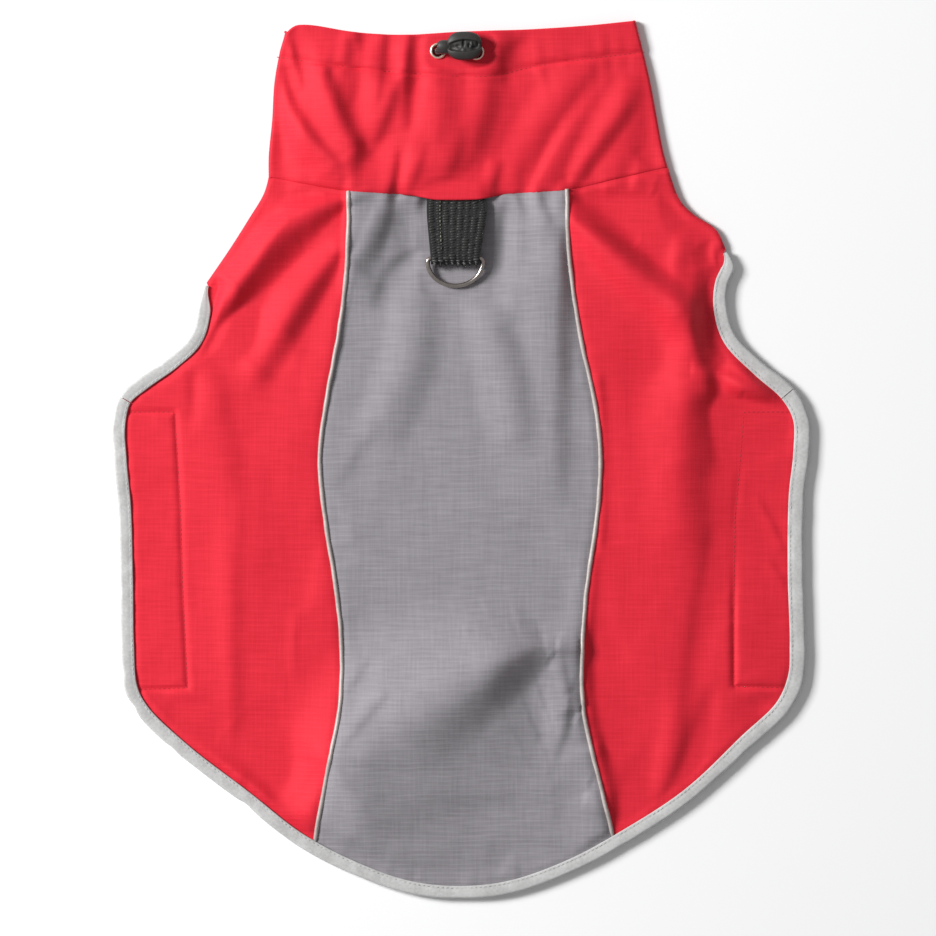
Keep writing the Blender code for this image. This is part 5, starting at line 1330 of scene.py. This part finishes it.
def piping_bead(name, seam, seed):
    """Piping from the collar seam down to the hem binding."""
    top = np.interp(seam[:, 0].mean(), *NECK_EDGE.T) - BEAD_STEP
    ys = np.arange(top, BEAD_LOWEST, -BEAD_STEP)
    line = np.column_stack([seam_x(seam, ys), ys])
    from_edge = distance_to(line, EDGE[::2])
    last = int(np.argmin(from_edge > BEAD_END))
    line, from_edge = line[:last], from_edge[:last]
    tucked = 1.0 - ramp(from_edge, *BEAD_TUCK)
    line[:, 0] += BEAD_SWAY * noise(line[:, 1] / BEAD_SWAY_SPACING, seed)
    uneven = BEAD_UNEVEN * noise(line[:, 1] / BEAD_UNEVEN_SPACING, seed + 5.0)
    size = PIPE_RADIUS * (1.0 + uneven)
    size *= 1.0 - BEAD_THINNER * tucked
    height = panel_height(line) + WALL + BEAD_RISE - BEAD_LOWER * tucked
    made = swept(name, tube(np.column_stack([line, height]), size, 14), PIPING)
    print(name, round(line_length(line)), "mm")
    return made


for word, seam, seed in (("left", SEAM_LEFT, 21.0), ("right", SEAM_RIGHT, 33.0)):
    bead = piping_bead(f"piping_bead_{word}", seam, seed)
    dress(bead, [f"piping_{word}"])

# %% [markdown]
# ## Chest panel and closure tapes
# Under the back lies the panel that goes round the dog's chest, face down here, with a
# loop tape on each side. The wings carry the matching hook tapes on their inner face.
# None of it shows in the photo, so it is finished plainly: cloth, binding and tape.

# %% Chest panel
# The panel lies on its binding and is level there and below the neck: start and end
CHEST_BINDING_END = (STRIP_WIDTH, 9.0)
NECK_LEVEL = (48.0, 60.0)
CHEST_SLACK, CHEST_SLACK_SPACING = 0.12, (11.0, 15.0)


def chest_height(points):
    """Height of the chest panel's lower face: on its tapes and binding, down at the neck."""
    near_binding = 1.0 - ramp(distance_to(points, CHEST), *CHEST_BINDING_END)
    below_neck = 1.0 - ramp(points[:, 1], *NECK_LEVEL)
    slack = CHEST_SLACK * noise(*(points / CHEST_SLACK_SPACING + (0.0, 30.0)).T)
    return CHEST_TALL * BASE * np.maximum(near_binding, below_neck) + np.minimum(slack, 0.0)


def chest_outline():
    """Outline of the chest panel, counterclockwise."""
    left, right = spline(SHOULDER_LEFT, step=3.0), spline(SHOULDER_RIGHT, step=3.0)
    return np.vstack([inward(CHEST, CUT_INSET), CHEST_CORNERS[0], right[1:-1][::-1],
                      NECK_EDGE[::-1], left[1:-1], CHEST_CORNERS[1]])


chest_cloth = cloth_shell("chest_cloth", chest_outline(), chest_height, 2.6, RED)
dress(chest_cloth, ["chest_panel"])

# %% Closure tapes
CLOSURE_TAPE = 0.9
LOOP_TAPE_X = (44.0, 66.0)
LOOP_TAPE_Y = (-62.0, 36.0)
# A wing's straight edge lies farther out and lower than this
WING_X, WING_TOP_Y = 100.0, 30.0
# The hook tape's outer edge stops this far from its corners
HOOK_CORNER = 1.0
PLATE_POINTS = 160


def rounded_plate(outline, low, high, soft=0.25):
    """Rings of a flat plate with softened upper and lower rims."""
    closed = resample(np.vstack([outline, outline[:1]]), PLATE_POINTS)[:-1]
    out = -left_of(unit(np.roll(closed, -1, axis=0) - np.roll(closed, 1, axis=0)))
    middle = closed.mean(axis=0)
    out *= np.sign(((closed - middle) * out).sum(axis=1).sum())
    levels = [(low, soft), (low + soft, 0.0), (high - soft, 0.0), (high, soft)]
    return [np.column_stack([closed - out * inset, np.full(len(closed), z)])
            for z, inset in levels]


def hook_outline(stitching, side):
    """Outline of the hook tape inside a wing's stitched rectangle."""
    (_, top), (_, bottom) = stitching[0], stitching[-1]
    edge = inward(EDGE, STRIP_WIDTH)
    edge = edge[(edge[:, 0] * side > WING_X) & (edge[:, 1] < WING_TOP_Y)]
    edge = edge[np.argsort(-edge[:, 1])]
    outer = edge[(edge[:, 1] < top - HOOK_CORNER) & (edge[:, 1] > bottom + HOOK_CORNER)]
    reach = [np.interp(y, edge[::-1, 1], edge[::-1, 0]) for y in (top, bottom)]
    return np.array([(reach[0], top), *map(tuple, outer), (reach[1], bottom),
                     *stitching[1:-1][::-1]])


closure_outlines = {}
for side, word, stitching in ((-1, "left", TAPE_LEFT), (1, "right", TAPE_RIGHT)):
    near, far = sorted(x * side for x in LOOP_TAPE_X)
    low, high = LOOP_TAPE_Y
    loop = np.array([(near, low), (far, low), (far, high), (near, high)])
    for kind, outline in (("hook", hook_outline(stitching, side)), ("loop", loop)):
        made = swept(f"{kind}_strip_{word}", rounded_plate(outline, 0.0, CLOSURE_TAPE), CLOSURE)
        dress(made, [f"{kind}_tape_{word}"])
        closure_outlines[made.name] = outline
print("closure tapes", list(closure_outlines))

# %% [markdown]
# ## Webbing loop and D-ring
# A short piece of black webbing goes round the ring's bar and back up into the collar
# seam, so it shows two layers and a rounded fold. Its profile is swept sideways. Webbing
# is woven in ribs: each rib is a column of short cross bars of heavy yarn, which the
# Geometry Nodes tree below lays along it. The ring is 2 mm steel wire bent to a D.

# %% Webbing profile
RING_CENTRE_X, RING_BAR_Y = -2.3, 80.2
# Radius of the room that the webbing leaves for the wire, and of the wire itself
RING_WIRE, WIRE_RADIUS = 1.0, 0.9
WEB_END_Y = 104.5
WEB_LOW = WEB_REST_HEIGHT + WALL + GAP
RING_BAR_Z = WEB_LOW + WEB_THICKNESS + GAP + RING_WIRE
# Half width at the ring, lean to the right, flare and rounded corner at the seam
WEB_HALF, WEB_LEAN, WEB_FLARE, WEB_CORNER = 9.5, 0.9, 2.7, 1.8


def web_edge_x(y, side):
    """X of the webbing's edge at a given y; side runs from -1 to 1."""
    share = np.clip((y - RING_BAR_Y) / (WEB_END_Y - RING_BAR_Y), 0.0, 1.0)
    flare = WEB_FLARE * ramp(share, -0.2, 0.9)
    corner = WEB_CORNER * ramp(share, 0.84, 1.0) ** 2 * (side > 0)
    return RING_CENTRE_X + WEB_LEAN * share + side * (WEB_HALF + flare - corner)


def web_profile():
    """Outer and inner line of the webbing in y and z, from the lower end round the bar."""
    inner, outer = RING_WIRE + GAP, RING_WIRE + GAP + WEB_THICKNESS
    run = WEB_END_Y - RING_BAR_Y
    under = np.linspace(WEB_END_Y, RING_BAR_Y, 14)
    outside = [(y, WEB_LOW) for y in under]
    inside_line = [(y, WEB_LOW + WEB_THICKNESS) for y in under]
    for a in np.radians(np.linspace(-75, 90, 12)):
        outside.append((RING_BAR_Y - outer * math.cos(a), RING_BAR_Z + outer * math.sin(a)))
        inside_line.append((RING_BAR_Y - inner * math.cos(a), RING_BAR_Z + inner * math.sin(a)))
    upper = WEB_LOW + WEB_THICKNESS + GAP
    for share in np.linspace(0.06, 1.0, 18):
        z = upper + (RING_BAR_Z + inner - upper) * (1.0 - ramp(share, 0.0, 1.0))
        outside.append((RING_BAR_Y + run * share, z + WEB_THICKNESS))
        inside_line.append((RING_BAR_Y + run * share, z))
    return np.array(outside), np.array(inside_line)


web_outside, web_inside = web_profile()
print("webbing", round(line_length(web_outside)), "mm long")

# %% Webbing body
WEB_COLUMNS = 15
# The webbing thins from this share of its half width on, by this part of its thickness
WEB_EDGE, WEB_THINNER = 0.86, 0.3
y, z = np.vstack([web_outside, web_inside[::-1]]).T
middle = (web_outside[:, 1] + web_inside[:, 1]) / 2
middle = np.concatenate([middle, middle[::-1]])
web_rings = []
for side in np.linspace(-1.0, 1.0, WEB_COLUMNS):
    thin = WEB_THINNER * max(0.0, abs(side) - WEB_EDGE) / (1.0 - WEB_EDGE)
    web_rings.append(np.column_stack([web_edge_x(y, side), y, z + (middle - z) * thin]))
webbing = swept("webbing_strap", web_rings, WEBBING, sharp=70.0)
dress(webbing, ["webbing_loop"])
print("webbing", len(webbing.data.polygons), "faces")

# %% D-ring
RING_HALF, RING_DEEP, RING_CORNER = 11.0, 11.0, 1.5


def ring_path():
    """Centre line of the wire, tilted so that its bow rests on the cloth."""
    rest = WEB_REST_HEIGHT + WALL + GAP + RING_WIRE
    tilt = math.asin((RING_BAR_Z - rest) / RING_DEEP)
    bar = [(x, 0.0) for x in np.linspace(-1, 1, 13) * (RING_HALF - RING_CORNER)]
    corner = [(RING_HALF - RING_CORNER * (1 - math.cos(a)), -RING_CORNER * (1 - math.sin(a)))
              for a in np.radians((72, 54, 36, 18))]
    bow = [(RING_HALF * math.cos(a), -RING_CORNER + (RING_DEEP - RING_CORNER) * math.sin(a))
           for a in np.radians(np.linspace(0, -180, 61))]
    flat = bar + corner + bow + [(-x, y) for x, y in corner[::-1]]
    return [(RING_CENTRE_X + x, RING_BAR_Y + y * math.cos(tilt), RING_BAR_Z + y * math.sin(tilt))
            for x, y in flat]


ring_wire = swept("ring_wire", tube(ring_path(), WIRE_RADIUS, 20, closed=True), STEEL, closed=True)
dress(ring_wire, ["d_ring"], body="d_ring")
print("ring", len(ring_wire.data.polygons), "faces")

# %% [markdown]
# ## Eyelets, elastic and cord lock
# Two rolled eyelets let the elastic out of the casing. It runs up through the cord lock,
# an oval moulded shell with an almond window in its face, behind which the toothed
# button grips the cord. The face is a height field on oval rings, because all its
# hollows open the same way.

# %% Eyelets
def turned(name, profile, centre, sides, material):
    """Ring turned about the vertical through a centre, from a closed profile of r and z."""
    angles = np.arange(sides) * math.tau / sides
    rings = [[(centre[0] + r * math.cos(a), centre[1] + r * math.sin(a), z) for r, z in profile]
             for a in angles]
    return swept(name, rings, material, closed=True, sharp=80.0)


EYELET_OUTER, EYELET_HOLE = 3.3, 2.2
ROLL_WIDE, ROLL_TALL = 0.6, 0.62
# Flange inside the casing: its radius, and its lower and upper face
FLANGE_OUTER, FLANGE_LOW, FLANGE_HIGH = 3.2, 2.3, 2.7
eyelet_cloth = LOCK_REST_HEIGHT + WALL + CASING_EXTRA
eyelet_roll = [(EYELET_OUTER + ROLL_WIDE * (math.cos(a) - 1.0),
                eyelet_cloth + 0.3 + ROLL_TALL * math.sin(a))
               for a in np.radians(np.linspace(0, 150, 8))]
eyelet_profile = ([(EYELET_HOLE, FLANGE_LOW), (FLANGE_OUTER, FLANGE_LOW),
                   (FLANGE_OUTER, FLANGE_HIGH), (EYELET_BARREL, FLANGE_HIGH),
                   (EYELET_BARREL, eyelet_cloth + 0.25)] + eyelet_roll
                  + [(EYELET_HOLE + 0.1, eyelet_cloth + 0.55),
                     (EYELET_HOLE, eyelet_cloth + 0.2)])
for word, centre in EYELETS.items():
    made = turned(f"eyelet_ring_{word}", eyelet_profile, centre, 48, BRASS)
    dress(made, [f"eyelet_{word}"])
print("eyelets", sorted(EYELETS))

# %% Elastic cord
CORD_RADIUS = 1.4
CORD_BEND = 3.0
# Depth of the elastic's ends in the casing, and height of its run above the lock's foot
CORD_START, CORD_RUN = 1.0, 2.7
# The lock's foot lies over the rolled eyelets
EYELET_TALL = 0.7
LOCK_LOW = eyelet_cloth + GAP + EYELET_TALL + GAP


def elastic_route():
    """Out of one eyelet, through the lock, and into the other."""
    start, run = LOCK_REST_HEIGHT - CORD_START, LOCK_LOW + CORD_RUN
    (x0, y0), (x1, y1) = EYELETS["left"], EYELETS["right"]
    quarter = [(CORD_BEND * (1 - math.cos(a)), run - CORD_BEND * (1 - math.sin(a)))
               for a in np.radians(np.linspace(0, 90, 9))]
    points = [(x0, y0, start)] + [(x0 + shift, y0, z) for shift, z in quarter]
    points += [(x0 + (x1 - x0) * s, y0 + (y1 - y0) * s, run) for s in (0.35, 0.5, 0.65)]
    points += [(x1 - shift, y1, z) for shift, z in quarter[::-1]] + [(x1, y1, start)]
    return np.array(points)


elastic_line = resample(elastic_route(), 60)
elastic = swept("elastic_strand", tube(elastic_line, CORD_RADIUS, 14), ELASTIC)
dress(elastic, ["elastic_cord"])
print("elastic", round(line_length(elastic_line), 1), "mm")

# %% Face of the cord lock
LOCK_SIZE = np.array((14.0, 11.4))
# Power of the oval: 2 is a plain oval, more makes its corners fuller
LOCK_SQUARE = 2.6
# Hollows of the lock's face: x, y, half width, half height and depth in mm
LOCK_PITS = [(-4.6, -1.0, 1.3, 1.1, 1.3), (-2.6, -0.3, 0.8, 0.7, 0.9), (-0.4, 0.9, 0.5, 1.3, 1.1),
             (1.8, 0.0, 0.5, 0.9, 0.9), (3.9, -0.9, 1.3, 0.8, 1.2), (5.2, 0.6, 0.6, 1.1, 0.9)]
LOCK_BUMPS = [(-0.3, -1.9, 0.75, 0.75, 0.5), (2.9, 0.5, 0.5, 1.1, 0.5)]
PIT_SHARE = 0.7
LOCK_CROWN, CROWN_POWER = 2.4, 2.6
# The window's two arcs: y at the middle, bend, and x of the middle
WINDOW_UPPER, WINDOW_LOWER = (2.5, -1.4, 0.5), (-2.6, 1.0, -0.3)
WINDOW_HALF, WINDOW_DEPTH = 6.0, 1.1


def lock_face(x, y):
    """Height of the lock's face over its rim: a crown with a window and toothed hollows."""
    half = LOCK_SIZE / 2
    out = (np.abs(x / half[0]) ** LOCK_SQUARE + np.abs(y / half[1]) ** LOCK_SQUARE) ** (
        1.0 / LOCK_SQUARE)
    crown = LOCK_CROWN * np.sqrt(np.clip(1.0 - out ** CROWN_POWER, 0.0, 1.0))
    upper, lower = (level + bend * ((x - middle) / WINDOW_HALF) ** 2
                    for level, bend, middle in (WINDOW_UPPER, WINDOW_LOWER))
    inside_by = np.minimum(upper - y, y - lower)
    face = crown - WINDOW_DEPTH * ramp(inside_by, -0.2, 0.6)
    for sign, rows in ((-PIT_SHARE, LOCK_PITS), (PIT_SHARE, LOCK_BUMPS)):
        for px, py, wide, tall, size in rows:
            face = face + sign * size * np.exp(-(((x - px) / wide) ** 2
                                                 + ((y - py) / tall) ** 2) ** 1.5)
    return face


print("the lock's face rises", lock_face(0.0, 0.0).round(1), "mm in its middle")

# %% Shell of the cord lock
LOCK_RINGS, LOCK_SIDES = 34, 96
LOCK_CENTRE = np.array((1.4, 165.0))


def rounded(value):
    """Squarer cosine or sine, for an oval with full corners."""
    return np.sign(value) * np.abs(value) ** (2.0 / LOCK_SQUARE)


# Rounded foot and wall under the face: height and share of the full size
LOCK_WALL = [(0.0, 0.80), (0.35, 0.88), (1.0, 0.95), (2.2, 1.0), (3.6, 0.995)]
LOCK_RIM = 4.35
angles = np.arange(LOCK_SIDES) * math.tau / LOCK_SIDES
oval = np.column_stack([rounded(np.cos(angles)), rounded(np.sin(angles))]) * LOCK_SIZE / 2
lock_rings = []
for z, share in LOCK_WALL + [(None, s) for s in np.linspace(0.985, 0.02, LOCK_RINGS)]:
    x, y = share * oval.T
    z = LOCK_RIM + lock_face(x, y) if z is None else np.full(LOCK_SIDES, z)
    lock_rings.append(np.column_stack([x + LOCK_CENTRE[0], y + LOCK_CENTRE[1], LOCK_LOW + z]))
lock = swept("lock_shell", lock_rings, ACETAL, sharp=80.0)
dress(lock, ["cord_lock"])
print("cord lock", len(lock.data.polygons), "faces")

# %% End of the lock's button, which the elastic presses against
BUTTON_CENTRE, BUTTON_HALF = np.array((-6.6, 164.9, LOCK_LOW + 2.6)), (3.0, 2.5, 2.1)
button_rings = []
for turn in np.radians(np.linspace(-86, 86, 15)):
    wide = math.cos(turn) ** 0.6
    button_rings.append([BUTTON_CENTRE + (BUTTON_HALF[0] * math.sin(turn),
                                          BUTTON_HALF[1] * wide * math.cos(a),
                                          BUTTON_HALF[2] * wide * math.sin(a))
                         for a in np.arange(24) * math.tau / 24])
button = swept("lock_button", button_rings, ACETAL)
dress(button, [])
print("lock button", len(button.data.polygons), "faces")

# %% [markdown]
# ## Stitches and ribs with Geometry Nodes
# A stitch shows as a small grain of thread, and every row of sewing repeats it at an
# even distance. One tree does that for any row: it takes a line of mesh edges, turns it
# into a curve, spaces points on it, and puts a rounded grain on each, turned to the
# line. The same tree lays the cross bars of the webbing's ribs. Its sizes are named
# inputs and its small unevenness comes from a fixed seed.

# %% The row tree
def grain_row_tree():
    """Geometry Nodes tree that lays rounded grains along a line."""
    tree = bpy.data.node_groups.new("row of grains", "GeometryNodeTree")
    face = tree.interface
    face.new_socket("Line", in_out="INPUT", socket_type="NodeSocketGeometry")
    for name in ("Spacing", "Along", "Across", "Height", "Unevenness"):
        face.new_socket(name, in_out="INPUT", socket_type="NodeSocketFloat")
    face.new_socket("Seed", in_out="INPUT", socket_type="NodeSocketInt")
    face.new_socket("Material", in_out="INPUT", socket_type="NodeSocketMaterial")
    face.new_socket("Grains", in_out="OUTPUT", socket_type="NodeSocketGeometry")
    given = tree.nodes.new("NodeGroupInput").outputs
    curve = node(tree, "GeometryNodeMeshToCurve", {0: given["Line"]})
    spaced = node(tree, "GeometryNodeResampleCurve", {"Curve": curve.outputs[0]}, mode="LENGTH")
    tree.links.new(given["Spacing"], spaced.inputs["Length"])
    tangent = node(tree, "GeometryNodeInputTangent")
    turned_to = node(tree, "FunctionNodeAlignRotationToVector",
                     {"Vector": tangent.outputs[0]}, axis="X")
    grain = node(tree, "GeometryNodeMeshUVSphere", {"Segments": 8, "Rings": 5, "Radius": 0.5})
    size = node(tree, "ShaderNodeCombineXYZ",
                {"X": given["Along"], "Y": given["Across"], "Z": given["Height"]})
    least = node(tree, "ShaderNodeMath", {0: 1.0, 1: given["Unevenness"]}, operation="SUBTRACT")
    most = node(tree, "ShaderNodeMath", {0: 1.0, 1: given["Unevenness"]}, operation="ADD")
    chance = node(tree, "FunctionNodeRandomValue", {"Seed": given["Seed"]}, data_type="FLOAT")
    tree.links.new(least.outputs[0], chance.inputs[2])
    tree.links.new(most.outputs[0], chance.inputs[3])
    uneven = node(tree, "ShaderNodeVectorMath", {0: size.outputs[0]}, operation="SCALE")
    tree.links.new(chance.outputs[1], uneven.inputs["Scale"])
    placed = node(tree, "GeometryNodeInstanceOnPoints", {
        "Points": spaced.outputs[0], "Instance": grain.outputs[0],
        "Rotation": turned_to.outputs[0], "Scale": uneven.outputs[0]})
    real = node(tree, "GeometryNodeRealizeInstances", {0: placed.outputs[0]})
    smooth = node(tree, "GeometryNodeSetShadeSmooth", {0: real.outputs[0]})
    painted = node(tree, "GeometryNodeSetMaterial",
                   {"Geometry": smooth.outputs[0], "Material": given["Material"]})
    node(tree, "NodeGroupOutput", {0: painted.outputs[0]})
    return tree


ROW_TREE = grain_row_tree()
print("tree", ROW_TREE.name, len(ROW_TREE.nodes), "nodes")

# %% Lay grains on lines
def grain_rows(name, lines, material, spacing, along, across, height, uneven=0.12, seed=1):
    """One piece of grains along several lines of points in millimetres."""
    points, edges = [], []
    for line in lines:
        first = len(points)
        points += (np.asarray(line, float) * MM).tolist()
        edges += [(first + i, first + i + 1) for i in range(len(line) - 1)]
    mesh = bpy.data.meshes.new(name)
    mesh.from_pydata(points, edges, [])
    row = bpy.data.objects.new(name, mesh)
    bpy.context.scene.collection.objects.link(row)
    layer = row.modifiers.new("grains", "NODES")
    layer.node_group = ROW_TREE
    values = {"Spacing": spacing * MM, "Along": along * MM, "Across": across * MM,
              "Height": height * MM, "Unevenness": uneven, "Seed": seed, "Material": material}
    for item in ROW_TREE.interface.items_tree:
        if item.in_out == "INPUT" and item.name in values:
            layer[item.identifier] = values[item.name]
    evaluated = row.evaluated_get(bpy.context.evaluated_depsgraph_get())
    row.data = bpy.data.meshes.new_from_object(evaluated)
    row.modifiers.clear()
    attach(row, BODY)
    print(name, len(row.data.polygons), "faces")
    return row


def lifted(line, height, above=0.0):
    """A flat line raised to a height function or a number."""
    z = height(line) if callable(height) else np.full(len(line), height)
    return np.column_stack([line, z + above])


print("the casing line lies", lifted(CASING, collar_top)[:, 2].mean().round(1), "mm up")

# %% Sewing on the cloth
def on_cloth(line):
    """A flat line on the upper face of the body panels."""
    return lifted(line, panel_height, WALL)


def tape_line(path, run, depth, z):
    """Sewing line on a binding."""
    ahead = smooth_ahead(path)[run]
    growth = tape_growth(path[run])[:, None]
    return lifted(path[run] + left_of(ahead) * depth * growth, z)


# Distance of a binding's sewing from the folded edge, and its heights on both leaves
SEWING_IN, SEWING_UPPER, SEWING_LOWER = 4.35, 3.24, -0.02
hem_rows = [tape_line(EDGE, slice(14, -6), SEWING_IN, z) for z in (SEWING_UPPER, SEWING_LOWER)]
chest_rows = [tape_line(chest_edge, slice(1, -1), SEWING_IN, SEWING_UPPER * CHEST_TALL)]
binding_sewing = grain_rows("binding_stitches", hem_rows + chest_rows, THREAD,
                            spacing=1.9, along=1.35, across=0.42, height=0.22)

tape_rows = [on_cloth(resample(np.array(line), 160)) for line in (TAPE_LEFT, TAPE_RIGHT)]
casing_row = lifted(CASING, collar_top)
red_sewing = grain_rows("red_stitches", tape_rows + [casing_row], RED_THREAD,
                        spacing=1.9, along=1.3, across=0.35, height=0.14, seed=4)

# %% Ribs and fleck of the webbing
WEB_LINE_POINTS = 120


def web_line(side, start=0.0, end=1.0, above=0.0):
    """Line along the webbing's outer face at one share of its width."""
    last = WEB_LINE_POINTS - 1
    line = resample(web_outside, WEB_LINE_POINTS)[int(last * start):int(last * end) + 1]
    line = line - left_of(ahead_of(line)) * above
    return np.column_stack([web_edge_x(line[:, 0], side), line])


RIB_COUNT, RIB_SPREAD = 8, 0.97
rib_sides = ((np.arange(RIB_COUNT) + 0.5) / RIB_COUNT * 2 - 1) * RIB_SPREAD
ribs = grain_rows("webbing_ribs", [web_line(side) for side in rib_sides], RIB_YARN_PAINTED_HIGHLIGHT,
                  spacing=1.06, along=0.8, across=2.2, height=0.9, uneven=0.45, seed=7)
fleck = grain_rows("webbing_fleck", [web_line(-0.56, 0.64, 0.97, -0.3)], FLECK,
                   spacing=1.5, along=1.0, across=0.5, height=0.5, uneven=0.3, seed=9)

# %% [markdown]
# ## Cloth sheets
# Each cloth piece prints the size it was cut to, so that it can be made or simulated as
# real cloth. A panel's cut is its outline. The collar is cut once round the tube. A
# binding is cut as wide as its folded section is long.

def declare(piece, width, length, area):
    """Print a sheet's cut width, length and area in millimetres."""
    print(piece.name, "cut", round(width), "x", round(length), "mm,", round(area / 100), "cm2")


def declare_flat(piece, outline):
    """Print the cut of a piece that lies as it was cut."""
    x, y = np.asarray(outline).T
    area = abs(x @ np.roll(y, -1) - y @ np.roll(x, -1)) / 2
    declare(piece, np.ptp(x), np.ptp(y), area)


declare_flat(left_cloth, side_outline_left())
declare_flat(right_cloth, side_outline_right())
declare_flat(back_cloth, back_outline())
declare_flat(chest_cloth, chest_outline())
for name, outline in closure_outlines.items():
    declare_flat(bpy.data.objects[name], outline)

collar_round = max(line_length(ring, closed=True) for ring in rings)
collar_tall = max(line_length(column) for column in rings.transpose(1, 0, 2))
collar_area = sum(face.area for face in collar_cloth.data.polygons) / MM ** 2
declare(collar_cloth, collar_round, collar_tall, collar_area)
for tape, path, tall in ((hem_tape, EDGE[FIRST:LAST + 1], 1.0),
                         (armhole_tape_left, EDGE[:FIRST + 1], 1.0),
                         (armhole_tape_right, EDGE[LAST:], 1.0),
                         (chest_tape, chest_edge, CHEST_TALL)):
    tape_cut = line_length(np.array(TAPE_SECTION) * (1.0, tall), closed=True) / 2
    tape_long = line_length(path)
    declare(tape, tape_cut, tape_long, tape_cut * tape_long)
web_wide = web_edge_x(WEB_END_Y, 1.0) - web_edge_x(WEB_END_Y, -1.0)
web_long = line_length(web_outside)
# The webbing is a little narrower at the ring than at its ends
WEB_AREA_SHARE = 0.95
declare(webbing, web_wide, web_long, WEB_AREA_SHARE * web_wide * web_long)
